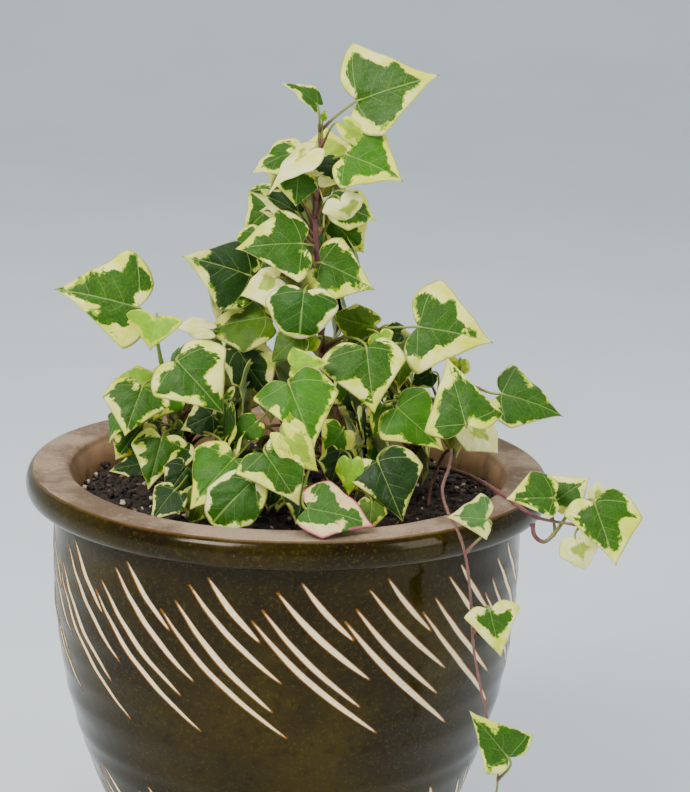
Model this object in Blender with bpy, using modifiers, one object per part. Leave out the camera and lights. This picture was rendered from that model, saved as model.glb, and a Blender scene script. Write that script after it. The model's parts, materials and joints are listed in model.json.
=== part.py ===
"""Potted variegated ivy: a glazed pot with a rolled rim, its soil, the stems and their leaves.

World frame: metres, +Z up, origin at the centre of the pot's flat underside, -Y is the front.
Sizes below are in millimetres and are turned into metres by MM where the meshes are made.
"""
import bpy
import bmesh
from collections import namedtuple
from math import cos, sin, pi, radians
from mathutils import Matrix, Vector

MM = 0.001
GAP = 0.3                   # clearance left between pieces that touch

# Pot
POT_HEIGHT = 285
RIM_RADIUS = 164            # outer edge of the rolled rim
MOUTH_RADIUS = 136          # inner edge of the rim
RIM_DEPTH = 19              # height of the rolled band
BODY_RADIUS = 147           # widest part, just under the band
FOOT_RADIUS = 88
FLOOR_HEIGHT = 14
ROUND_SEGMENTS = 40

# Soil
SOIL_TOP = 266

# Leaves
BLADE_THICKNESS = 1.2
PETIOLE_RADIUS = 1.1
PETIOLE_STEPS = 4
PETIOLE_DROP = 18           # a petiole leaves its stem about this far below its blade
PETIOLE_HEEL = 2.5          # its straight start, square to the stem
PETIOLE_BEND = 5            # how far it follows the blade's own line before it turns
LIGHT_RISE = 15             # leaves turn their faces this many degrees above level
BLADE_CENTRE = 0.28         # the fan of each blade spreads from here along the midrib

# Outer wall from under the band down to the foot: radius, height
BODY_WALL = [
    (BODY_RADIUS, 262), (BODY_RADIUS, 230), (146, 197), (143, 170), (138.5, 144),
    (131.5, 118), (122.5, 92), (112, 66), (101.5, 38), (92, 12), (FOOT_RADIUS, 3),
]
# Inner wall from the mouth down to the floor: radius, height
INNER_WALL = [
    (MOUTH_RADIUS, POT_HEIGHT - 2), (132, SOIL_TOP), (131, 200), (120, 130), (98, 66), (78, FLOOR_HEIGHT),
]

# Each stem: name, radius at the soil, radius at the tip, route
Stem = namedtuple("Stem", "name thick thin route")
STEMS = [
    Stem("main_stem", 3.4, 1.6, [
        (38, 2, 266.5), (38, 2, 282), (34, 0, 304), (25, 0, 331), (19, -2, 359), (18, -4, 398),
        (14, -6, 425), (13, -6, 455), (15, -6, 485), (14, -6, 502)]),
    Stem("left_stem", 2.6, 1.4, [
        (4, 12, 266.5), (4, 12, 284), (-4, 9, 325), (-17, 7, 357), (-13, 9, 380), (-4, 12, 412)]),
    Stem("left_shoot", 3.0, 1.3, [
        (-58, 6, 266.5), (-58, 6, 280), (-66, 2, 309), (-73, -4, 326), (-79, -8, 346), (-84, -10, 372)]),
    Stem("front_stem", 2.4, 1.3, [
        (24, -34, 266.5), (24, -34, 282), (20, -38, 310), (22, -32, 345), (34, -24, 366)]),
    Stem("right_stem", 2.8, 1.3, [
        (72, -8, 266.5), (72, -8, 280), (82, -14, 308), (94, -22, 334), (112, -20, 344)]),
    Stem("trailing_stem", 1.7, 1.0, [
        (88, -30, 266.5), (88, -30, 280), (94, -38, 302), (98, -56, 312), (96, -82, 309), (91, -106, 302),
        (93, -125, 295), (99, -138, 286), (104, -140, 271), (108, -136, 246), (111, -133, 215),
        (116, -131, 190), (122, -131, 165), (129, -130, 136), (128, -130, 114)]),
    Stem("runner_stem", 2.2, 1.0, [
        (64, 34, 266.5), (65, 33, 273), (84, 20, 280), (102, 0, 284), (118, -42, 289), (131, -84, 291),
        (144, -108, 288), (154, -116, 287), (174, -122, 286)]),
    Stem("runner_side_stem", 1.7, 1.1, [
        (144.5, -112.5, 284), (146, -115, 277), (152, -116, 274), (159, -115, 281), (167, -113, 293),
        (176, -114, 300)]),
]

# The leaves of each stem: name, base and length in mm; heading, lean and roll of its midrib in degrees;
# its lobes as (how far along, how far out) on the left and on the right in leaf lengths; droop and cup in
# radians of bend per leaf length; its look; turn, the side of the plant that it faces (0 is the front).
Leaf = namedtuple("Leaf", "name stem base length heading lean roll lobes droop cup look turn",
                  defaults=(0,))
LEAF_ROWS = {
    "main_stem": [
        ("crown_leaf_1", (36, -12, 517), 53, 25, 15, -15, (0.12, 0.7, 0.2, 0.5), 0.3, 0.2, "edged"),
        ("crown_leaf_2", (31, -31, 484), 38, -18, 20, -25, (0.32, 0.72, 0.15, 0.58), 0.4, 0.3, "green"),
        ("crown_leaf_3", (12, -17, 512), 24, 150, 10, 45, (0.28, 0.34, 0.3, 0.34), 0.5, -0.8, "edged"),
        ("crown_leaf_4", (18, 10, 474), 27, 88, -20, 0, (0.4, 0.62, 0.45, 0.62), 0.4, 0.3, "pale"),
        ("crown_leaf_5", (1, -8, 485), 32, -165, 10, 40, (0.38, 0.48, 0.25, 0.5), 0.4, 0.3, "edged"),
        ("crown_leaf_6", (10, -30, 490), 40, -148, 10, 55, (0.2, 0.42, 0.1, 0.46), 0.4, 0.7, "cream"),
        ("crown_leaf_7", (2, -8, 447), 34, 145, 10, 50, (0.3, 0.45, 0.35, 0.45), 0.3, 0.4, "dark"),
        ("crown_leaf_8", (-10, 14, 450), 33, -140, 0, 15, (0.4, 0.45, 0.33, 0.58), 0.4, 0.3, "edged"),
        ("crown_leaf_9", (27, -36, 461), 24, -62, 20, 0, (0.4, 0.62, 0.15, 0.58), 1.6, 0.9, "cream"),
        ("crown_leaf_10", (24, 8, 440), 31, -50, 0, 20, (0.4, 0.58, 0.4, 0.5), 0.4, 0.3, "edged"),
        ("mid_leaf_2", (5, -44, 435), 41, 177, 15, 20, (0.1, 0.6, 0.3, 0.58), 0.4, 0.3, "edged"),
        ("mid_leaf_4", (7, -60, 409), 32, -98, 35, 5, (0.22, 0.68, 0.26, 0.76), 0.9, 0.5, "round"),
        ("mid_leaf_5", (17, -36, 422), 37, -15, 18, -25, (0.12, 0.62, 0.38, 0.6), 0.4, 0.3, "edged"),
        ("front_leaf_2", (45, -62, 376), 41, -81, 35, 0, (0.23, 0.56, 0.22, 0.74), 0.4, 0.2, "edged"),
        ("right_leaf_1", (77, -28, 382), 47, -7, 12, -22, (0.17, 0.72, 0.1, 0.64), 0.3, 0.2, "edged"),
        ("back_leaf_1", (6, 26, 470), 40, -60, 20, 0, (0.2, 0.6, 0.2, 0.58), 0.4, 0.3, "edged", 180),
        ("back_leaf_2", (-6, 34, 424), 42, -110, 20, 10, (0.2, 0.6, 0.2, 0.6), 0.4, 0.3, "edged", 165),
        ("back_leaf_5", (52, 36, 362), 44, -110, 25, 0, (0.2, 0.62, 0.2, 0.6), 0.4, 0.3, "edged", 160),
    ],
    "left_stem": [
        ("mid_leaf_1", (-26, -12, 407), 44, 164, 10, 30, (0.3, 0.66, 0.3, 0.5), 0.3, 0.3, "dark"),
        ("mid_leaf_3", (-9, -30, 411), 27, -165, 10, 30, (0.45, 0.62, 0.3, 0.42), 0.5, 0.6, "cream"),
        ("mid_leaf_6", (-16, -22, 384), 43, -176, 5, 35, (0.38, 0.52, 0.23, 0.42), 0.4, 0.3, "olive"),
        ("left_leaf_3", (-68, -62, 365), 44, -39, 30, -10, (0.3, 0.62, 0.16, 0.56), 0.4, 0.3, "edged"),
        ("left_leaf_7", (-33, -76, 309), 41, -139, 28, 22, (0.42, 0.42, 0.25, 0.6), 0.4, 0.3, "green"),
        ("back_leaf_3", (-30, 38, 392), 42, -70, 20, 0, (0.2, 0.6, 0.22, 0.6), 0.4, 0.3, "green", 200),
        ("back_leaf_6", (-12, 50, 338), 42, -90, 25, 0, (0.2, 0.6, 0.2, 0.6), 0.5, 0.3, "edged", 180),
    ],
    "left_shoot": [
        ("left_leaf_1", (-94, -20, 388), 53, 166, 12, 22, (0.08, 0.54, 0.25, 0.7), 0.3, 0.2, "edged"),
        ("left_leaf_2", (-82, -42, 387), 21, -100, 30, 0, (0.05, 0.85, 0.12, 0.88), 0.5, -0.5, "young"),
        ("left_leaf_4", (-90, -36, 342), 33, -112, 35, 5, (0.16, 0.6, 0.4, 0.66), 0.4, 0.3, "edged"),
        ("left_leaf_5", (-92, -2, 310), 29, -126, 25, -5, (0.35, 0.55, 0.28, 0.72), 0.4, 0.3, "edged"),
        ("left_leaf_6", (-78, -32, 309), 34, -105, 35, 0, (0.08, 0.56, 0.24, 0.52), 0.4, 0.3, "edged"),
        ("back_leaf_4", (-58, 34, 338), 42, -70, 25, 0, (0.18, 0.6, 0.2, 0.62), 0.4, 0.3, "edged", 190),
    ],
    "front_stem": [
        ("mid_leaf_7", (50, -26, 381), 28, 168, 10, -25, (0.4, 0.58, 0.5, 0.42), 0.4, 0.3, "olive"),
        ("left_leaf_8", (-22, -110, 304), 36, -140, 25, 10, (0.46, 0.5, 0.52, 0.46), 0.6, 0.3, "round"),
        ("left_leaf_9", (-14, -114, 324), 39, -50, 30, -5, (0.45, 0.44, 0.02, 0.54), 0.5, 0.3, "edged"),
        ("front_leaf_1", (-1, -94, 361), 43, -64, 38, 0, (0.36, 0.6, 0.02, 0.54), 0.4, 0.2, "green"),
        ("front_leaf_3", (1, -74, 366), 24, 19, 20, -20, (0.02, 0.55, 0.23, 0.38), 0.4, 0.2, "young"),
        ("rim_leaf_1", (12, -140, 298), 41, -3, 8, -45, (0.2, 0.74, 0.28, 0.48), 0.3, 0.3, "pink"),
    ],
    "right_stem": [
        ("front_leaf_4", (65, -62, 339), 39, -35, 22, -10, (0.16, 0.57, 0.14, 0.54), 0.4, 0.3, "green"),
        ("rim_leaf_2", (53, -88, 313), 40, -63, 35, 0, (0.31, 0.62, 0.1, 0.5), 0.4, 0.3, "dark"),
        ("right_leaf_2", (105, -80, 335), 45, 107, -22, 0, (0.04, 0.56, 0.02, 0.52), 0.3, 0.3, "edged"),
        ("right_leaf_3", (132, -16, 335), 42, -13, 12, -30, (0.05, 0.58, 0.26, 0.52), 0.4, 0.3, "edged"),
        ("back_leaf_7", (98, 22, 322), 40, -100, 25, 0, (0.2, 0.6, 0.2, 0.6), 0.4, 0.3, "green", 150),
    ],
    "trailing_stem": [
        ("trailing_leaf_1", (115, -143, 295), 24, 176, -5, 20, (-0.05, 0.5, 0.22, 0.7), 0.3, 0.4, "grey"),
        ("trailing_leaf_2", (119, -144, 240), 31, -74, 10, 0, (0.08, 0.57, 0.02, 0.5), 0.3, 0.3, "edged"),
        ("trailing_leaf_3", (134, -142, 148), 37, 130, 0, 0, (0.05, 0.44, 0.02, 0.54), 0.3, 0.3, "edged"),
    ],
    "runner_stem": [
        ("runner_leaf_1", (155, -120, 302), 28, 178, 10, 10, (0.05, 0.42, 0.42, 0.6), 0.3, 0.3, "edged"),
        ("runner_leaf_4", (169, -126, 279), 25, -68, 10, 0, (0.4, 0.48, 0.28, 0.5), 0.7, 0.5, "cream"),
    ],
    "runner_side_stem": [
        ("runner_leaf_2", (159, -104, 296), 24, 40, 0, -20, (0.15, 0.72, 0.36, 0.58), 0.3, 0.3, "edged"),
        ("runner_leaf_3", (179, -124, 301), 39, -69, 28, 5, (0.45, 0.62, 0.02, 0.5), 0.3, 0.3, "edged"),
    ],
}

# Material colours (linear red, green, blue), roughness
COLOURS = {
    "glaze": ((0.045, 0.028, 0.008), 0.15),
    "soil": ((0.016, 0.011, 0.009), 0.95),
    "stem": ((0.14, 0.06, 0.06), 0.55),
    "edged": ((0.16, 0.28, 0.06), 0.4),
    "green": ((0.09, 0.22, 0.04), 0.4),
    "dark": ((0.05, 0.13, 0.04), 0.4),
    "grey": ((0.20, 0.28, 0.16), 0.45),
    "olive": ((0.20, 0.26, 0.08), 0.45),
    "round": ((0.20, 0.30, 0.10), 0.4),
    "young": ((0.32, 0.50, 0.06), 0.4),
    "pale": ((0.55, 0.60, 0.18), 0.4),
    "cream": ((0.75, 0.74, 0.45), 0.4),
    "pink": ((0.30, 0.32, 0.16), 0.4),
}


def leaves_of(rows_by_stem):
    return [Leaf(row[0], stem, *row[1:]) for stem, rows in rows_by_stem.items() for row in rows]


def clear_scene():
    for item in list(bpy.data.objects):
        bpy.data.objects.remove(item, do_unlink=True)


def material(name):
    if name in bpy.data.materials:
        return bpy.data.materials[name]
    colour, roughness = COLOURS[name]
    made = bpy.data.materials.new(name)
    made.use_nodes = True
    shader = made.node_tree.nodes["Principled BSDF"]
    shader.inputs["Base Color"].default_value = (*colour, 1)
    shader.inputs["Roughness"].default_value = roughness
    return made


def add_object(name, data, collection, material_name):
    made = bpy.data.objects.new(name, data)
    made.data.materials.append(material(material_name))
    collection.objects.link(made)
    return made


# Turned pieces

def turned(name, profile, collection, material_name):
    """A profile of (radius, height) turned about Z; it starts and ends on the axis."""
    mesh = bpy.data.meshes.new(name)
    points = [(radius * MM, 0, height * MM) for radius, height in profile]
    edges = [(i, i + 1) for i in range(len(points) - 1)]
    mesh.from_pydata(points, edges, [])
    made = add_object(name, mesh, collection, material_name)
    screw = made.modifiers.new("Turn", "SCREW")
    screw.steps = ROUND_SEGMENTS
    screw.render_steps = ROUND_SEGMENTS
    screw.use_merge_vertices = True
    screw.merge_threshold = 0.00001
    screw.use_smooth_shade = True
    return made


def rim_profile():
    """The rolled rim from its inner edge over the flat top and round the band, as arcs."""
    corner = 3
    top = POT_HEIGHT
    profile = [(MOUTH_RADIUS + corner * (1 - cos(a)), top - corner * (1 - sin(a)))
               for a in (0, pi / 4, pi / 2)]
    half = RIM_DEPTH / 2
    bulge = 6
    for step in range(6):
        angle = pi / 2 - pi * step / 5
        profile.append((RIM_RADIUS - bulge + bulge * cos(angle), top - half + half * sin(angle)))
    return profile


def build_pot(collection):
    inside = list(reversed(INNER_WALL[1:]))
    profile = [(0, FLOOR_HEIGHT)] + inside + rim_profile() + BODY_WALL + [(FOOT_RADIUS - 3, 0), (0, 0)]
    return turned("pot", profile, collection, "glaze")


def build_soil(collection):
    side = [(radius - GAP, height) for radius, height in INNER_WALL[1:-1]]
    lowest = (INNER_WALL[-1][0] - GAP, FLOOR_HEIGHT + GAP)
    profile = [(0, SOIL_TOP), (66, SOIL_TOP)] + side + [lowest, (0, FLOOR_HEIGHT + GAP)]
    return turned("potting_soil", profile, collection, "soil")


# Stems

def smooth_route(points, steps):
    """Points along a Catmull-Rom curve through the route's own points."""
    ends = [points[0]] + list(points) + [points[-1]]
    found = []
    for a, b, c, d in zip(ends, ends[1:], ends[2:], ends[3:]):
        a, b, c, d = Vector(a), Vector(b), Vector(c), Vector(d)
        for step in range(steps):
            t = step / steps
            found.append(0.5 * (2 * b + (c - a) * t + (2 * a - 5 * b + 4 * c - d) * t ** 2
                                + (3 * b - a - 3 * c + d) * t ** 3))
    return found + [Vector(points[-1])]


def tube(name, route, thick, thin, sides, collection, material_name):
    """A capped tube along a route, tapering from thick to thin."""
    curve = bpy.data.curves.new(name, "CURVE")
    curve.dimensions = "3D"
    curve.bevel_depth = MM
    curve.bevel_resolution = sides
    curve.use_fill_caps = True
    spline = curve.splines.new("POLY")
    spline.points.add(len(route) - 1)
    last = len(route) - 1
    for index, (point, place) in enumerate(zip(spline.points, route)):
        point.co = (*(Vector(place) * MM), 1)
        point.radius = thick + (thin - thick) * index / last
    return add_object(name, curve, collection, material_name)


def build_stems(collection):
    for stem in STEMS:
        tube(stem.name, smooth_route(stem.route, 2), stem.thick, stem.thin, 1, collection, "stem")


# Leaves

def half_outline(along, out):
    """One side of a blade from its base notch round the lobe to just before the tip."""
    rest = 1 - along
    return [
        (-0.10, 0.24 * out), (-0.13, 0.52 * out), (-0.06 + 0.3 * along, 0.84 * out), (along, out),
        (along + 0.30 * rest, 0.68 * out), (along + 0.62 * rest, 0.36 * out),
    ]


def outline(lobes):
    """The whole edge of a blade in leaf lengths: base notch, left side, tip, right side."""
    left_along, left_out, right_along, right_out = lobes
    left = half_outline(left_along, left_out)
    right = [(u, -v) for u, v in half_outline(right_along, right_out)]
    return [(0, 0)] + left + [(1, 0)] + list(reversed(right))


def bent(u, v, leaf):
    """A flat blade point bent round two arcs: (along the midrib, to the left, off the face)."""
    across = sin(leaf.cup * v) / leaf.cup
    fall = (cos(leaf.cup * v) - 1) / leaf.cup
    turn = leaf.droop * u
    along = sin(turn) / leaf.droop + fall * sin(turn)
    above = (cos(turn) - 1) / leaf.droop + fall * cos(turn)
    return Vector((along, across, above)) * leaf.length


def leaf_axes(leaf):
    """Rotation whose columns are the leaf's midrib, its left side and its face."""
    heading, lean, roll = radians(leaf.heading), radians(leaf.lean), radians(leaf.roll)
    midrib = Vector((cos(heading) * cos(lean), -sin(lean), sin(heading) * cos(lean)))
    light = Vector((0, -cos(radians(LIGHT_RISE)), sin(radians(LIGHT_RISE))))
    face = (light - midrib * light.dot(midrib)).normalized()
    side = face.cross(midrib)
    left = side * cos(roll) + face * sin(roll)
    face = face * cos(roll) - side * sin(roll)
    return Matrix.Rotation(radians(leaf.turn), 3, "Z") @ Matrix((midrib, left, face)).transposed()


def leaf_point(leaf, axes, u, v):
    return Vector(leaf.base) + axes @ bent(u, v, leaf)


def blade_mesh(leaf, axes):
    """The open surface of a blade: a fan from its centre to two rings."""
    mesh = bmesh.new()
    edge = outline(leaf.lobes)
    centre = mesh.verts.new(leaf_point(leaf, axes, BLADE_CENTRE, 0) * MM)
    rings = []
    for share in (0.5, 1):
        ring = [leaf_point(leaf, axes, BLADE_CENTRE + (u - BLADE_CENTRE) * share, v * share)
                for u, v in edge]
        rings.append([mesh.verts.new(place * MM) for place in ring])
    inner, outer = rings
    for index in range(len(edge)):
        after = (index + 1) % len(edge)
        mesh.faces.new((centre, inner[after], inner[index]))
        mesh.faces.new((inner[index], inner[after], outer[after], outer[index]))
    made = bpy.data.meshes.new(leaf.name)
    mesh.to_mesh(made)
    mesh.free()
    return made


def petiole_route(leaf, axes):
    """From just inside the blade, back under it and down to the nearest part of its stem."""
    stem = next(stem for stem in STEMS if stem.name == leaf.stem)
    base = Vector(leaf.base)
    below = base - Vector((0, 0, PETIOLE_DROP))
    route = smooth_route(stem.route, 8)
    spot = min(range(len(route)), key=lambda index: (route[index] - below).length)
    thickness = stem.thick + (stem.thin - stem.thick) * spot / (len(route) - 1)
    along = (route[min(spot + 1, len(route) - 1)] - route[max(spot - 1, 0)]).normalized()
    outward = base - route[spot]
    outward = (outward - along * outward.dot(along)).normalized()
    foot = route[spot] + outward * (thickness + GAP)
    start = foot + outward * PETIOLE_HEEL
    bend = base - axes @ Vector((1, 0, 0.5)) * PETIOLE_BEND
    places = [leaf_point(leaf, axes, 0.05, 0)]
    for step in range(PETIOLE_STEPS + 1):
        t = step / PETIOLE_STEPS
        places.append(base * (1 - t) ** 2 + bend * 2 * t * (1 - t) + start * t ** 2)
    return places + [foot]


def as_mesh(piece):
    """The evaluated shape of an object as a mesh with its loose caps welded."""
    view = bpy.context.evaluated_depsgraph_get()
    made = bpy.data.meshes.new_from_object(piece.evaluated_get(view))
    shape = bmesh.new()
    shape.from_mesh(made)
    bmesh.ops.remove_doubles(shape, verts=shape.verts, dist=0.00001)
    bmesh.ops.recalc_face_normals(shape, faces=shape.faces)
    shape.to_mesh(made)
    shape.free()
    return made


def build_leaf(leaf, collection, helpers):
    """A blade of even thickness joined to its petiole as one solid."""
    axes = leaf_axes(leaf)
    route = petiole_route(leaf, axes)
    stalk = tube("stalk", route, PETIOLE_RADIUS, PETIOLE_RADIUS, 1, helpers, "stem")
    solid = bpy.data.objects.new("stalk_solid", as_mesh(stalk))
    helpers.objects.link(solid)
    made = add_object(leaf.name, blade_mesh(leaf, axes), collection, leaf.look)
    shell = made.modifiers.new("Thickness", "SOLIDIFY")
    shell.thickness = BLADE_THICKNESS * MM
    shell.offset = 0
    join = made.modifiers.new("Petiole", "BOOLEAN")
    join.operation = "UNION"
    join.object = solid
    whole = as_mesh(made)
    made.modifiers.clear()
    made.data = whole
    for helper in (stalk, solid):
        bpy.data.objects.remove(helper)
    whole.shade_smooth()
    whole.set_sharp_from_angle(angle=radians(50))
    return made


def main():
    clear_scene()
    plant = bpy.data.collections.new("potted_ivy")
    helpers = bpy.data.collections.new("helpers")
    bpy.context.scene.collection.children.link(plant)
    bpy.context.scene.collection.children.link(helpers)
    build_pot(plant)
    build_soil(plant)
    build_stems(plant)
    for leaf in leaves_of(LEAF_ROWS):
        build_leaf(leaf, plant, helpers)


main()
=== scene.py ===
"""Looks of the potted variegated ivy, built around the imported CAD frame.

The frame gives the pot, the soil, the stems and the leaves in metres. The CAD model's design values, with
the differences noted below, place the fine pieces that stand for its nodes: millimetres, made metres by MM.
"""
import json
import random
from collections import namedtuple
from math import atan2, cos, degrees, pi, radians, sin

import bpy
import numpy as np
from mathutils import Matrix, Vector

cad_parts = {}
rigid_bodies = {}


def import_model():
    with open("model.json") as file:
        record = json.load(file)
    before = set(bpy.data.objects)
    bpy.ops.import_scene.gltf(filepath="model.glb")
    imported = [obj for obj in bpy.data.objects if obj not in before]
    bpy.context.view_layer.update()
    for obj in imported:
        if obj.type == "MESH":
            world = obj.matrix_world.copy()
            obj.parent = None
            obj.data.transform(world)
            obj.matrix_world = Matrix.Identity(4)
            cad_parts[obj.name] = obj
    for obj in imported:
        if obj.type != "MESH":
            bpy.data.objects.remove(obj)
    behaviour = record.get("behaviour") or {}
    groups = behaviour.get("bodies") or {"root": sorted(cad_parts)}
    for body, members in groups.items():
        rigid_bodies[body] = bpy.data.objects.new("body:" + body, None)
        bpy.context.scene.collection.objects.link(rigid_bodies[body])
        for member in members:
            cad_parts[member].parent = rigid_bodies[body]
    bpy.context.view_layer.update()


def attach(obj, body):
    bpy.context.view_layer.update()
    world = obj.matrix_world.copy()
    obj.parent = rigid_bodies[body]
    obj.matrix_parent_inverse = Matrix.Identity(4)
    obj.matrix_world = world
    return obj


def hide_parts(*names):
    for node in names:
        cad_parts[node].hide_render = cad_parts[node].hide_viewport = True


MM = 0.001
SOIL_TOP = 266
POT_HEIGHT = 285
# Each stem: name, radius at the soil, radius at the tip, route
Stem = namedtuple("Stem", "name thick thin route")
STEMS = [
    Stem("main_stem", 3.4, 1.6, [
        (38, 2, 266.5), (38, 2, 282), (34, 0, 304), (25, 0, 331), (19, -2, 359), (18, -4, 398),
        (14, -6, 425), (13, -6, 455), (15, -6, 485), (14, -6, 502)]),
    Stem("left_stem", 2.6, 1.4, [
        (4, 12, 266.5), (4, 12, 284), (-4, 9, 325), (-17, 7, 357), (-13, 9, 380), (-4, 12, 412)]),
    Stem("left_shoot", 3.0, 1.3, [
        (-58, 6, 266.5), (-58, 6, 280), (-66, 2, 309), (-73, -4, 326), (-79, -8, 346), (-84, -10, 372)]),
    Stem("front_stem", 2.4, 1.3, [
        (24, -34, 266.5), (24, -34, 282), (20, -38, 310), (22, -32, 345), (34, -24, 366)]),
    Stem("right_stem", 2.8, 1.3, [
        (72, -8, 266.5), (72, -8, 280), (82, -14, 308), (94, -22, 334), (112, -20, 344)]),
    Stem("trailing_stem", 1.7, 1.0, [
        (88, -30, 266.5), (88, -30, 280), (94, -38, 302), (98, -56, 312), (96, -82, 309), (91, -106, 302),
        (93, -125, 295), (99, -138, 286), (104, -140, 271), (108, -136, 246), (111, -133, 215),
        (116, -131, 190), (122, -131, 165), (129, -130, 136), (128, -130, 114)]),
    Stem("runner_stem", 2.2, 1.0, [
        (64, 34, 266.5), (65, 33, 273), (84, 20, 280), (102, 0, 284), (118, -42, 289), (131, -84, 291),
        (144, -108, 288), (154, -116, 287), (174, -122, 286)]),
    Stem("runner_side_stem", 1.7, 1.1, [
        (144.5, -112.5, 284), (146, -115, 277), (152, -116, 274), (159, -115, 281), (167, -113, 293),
        (176, -114, 300)]),
]

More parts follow.
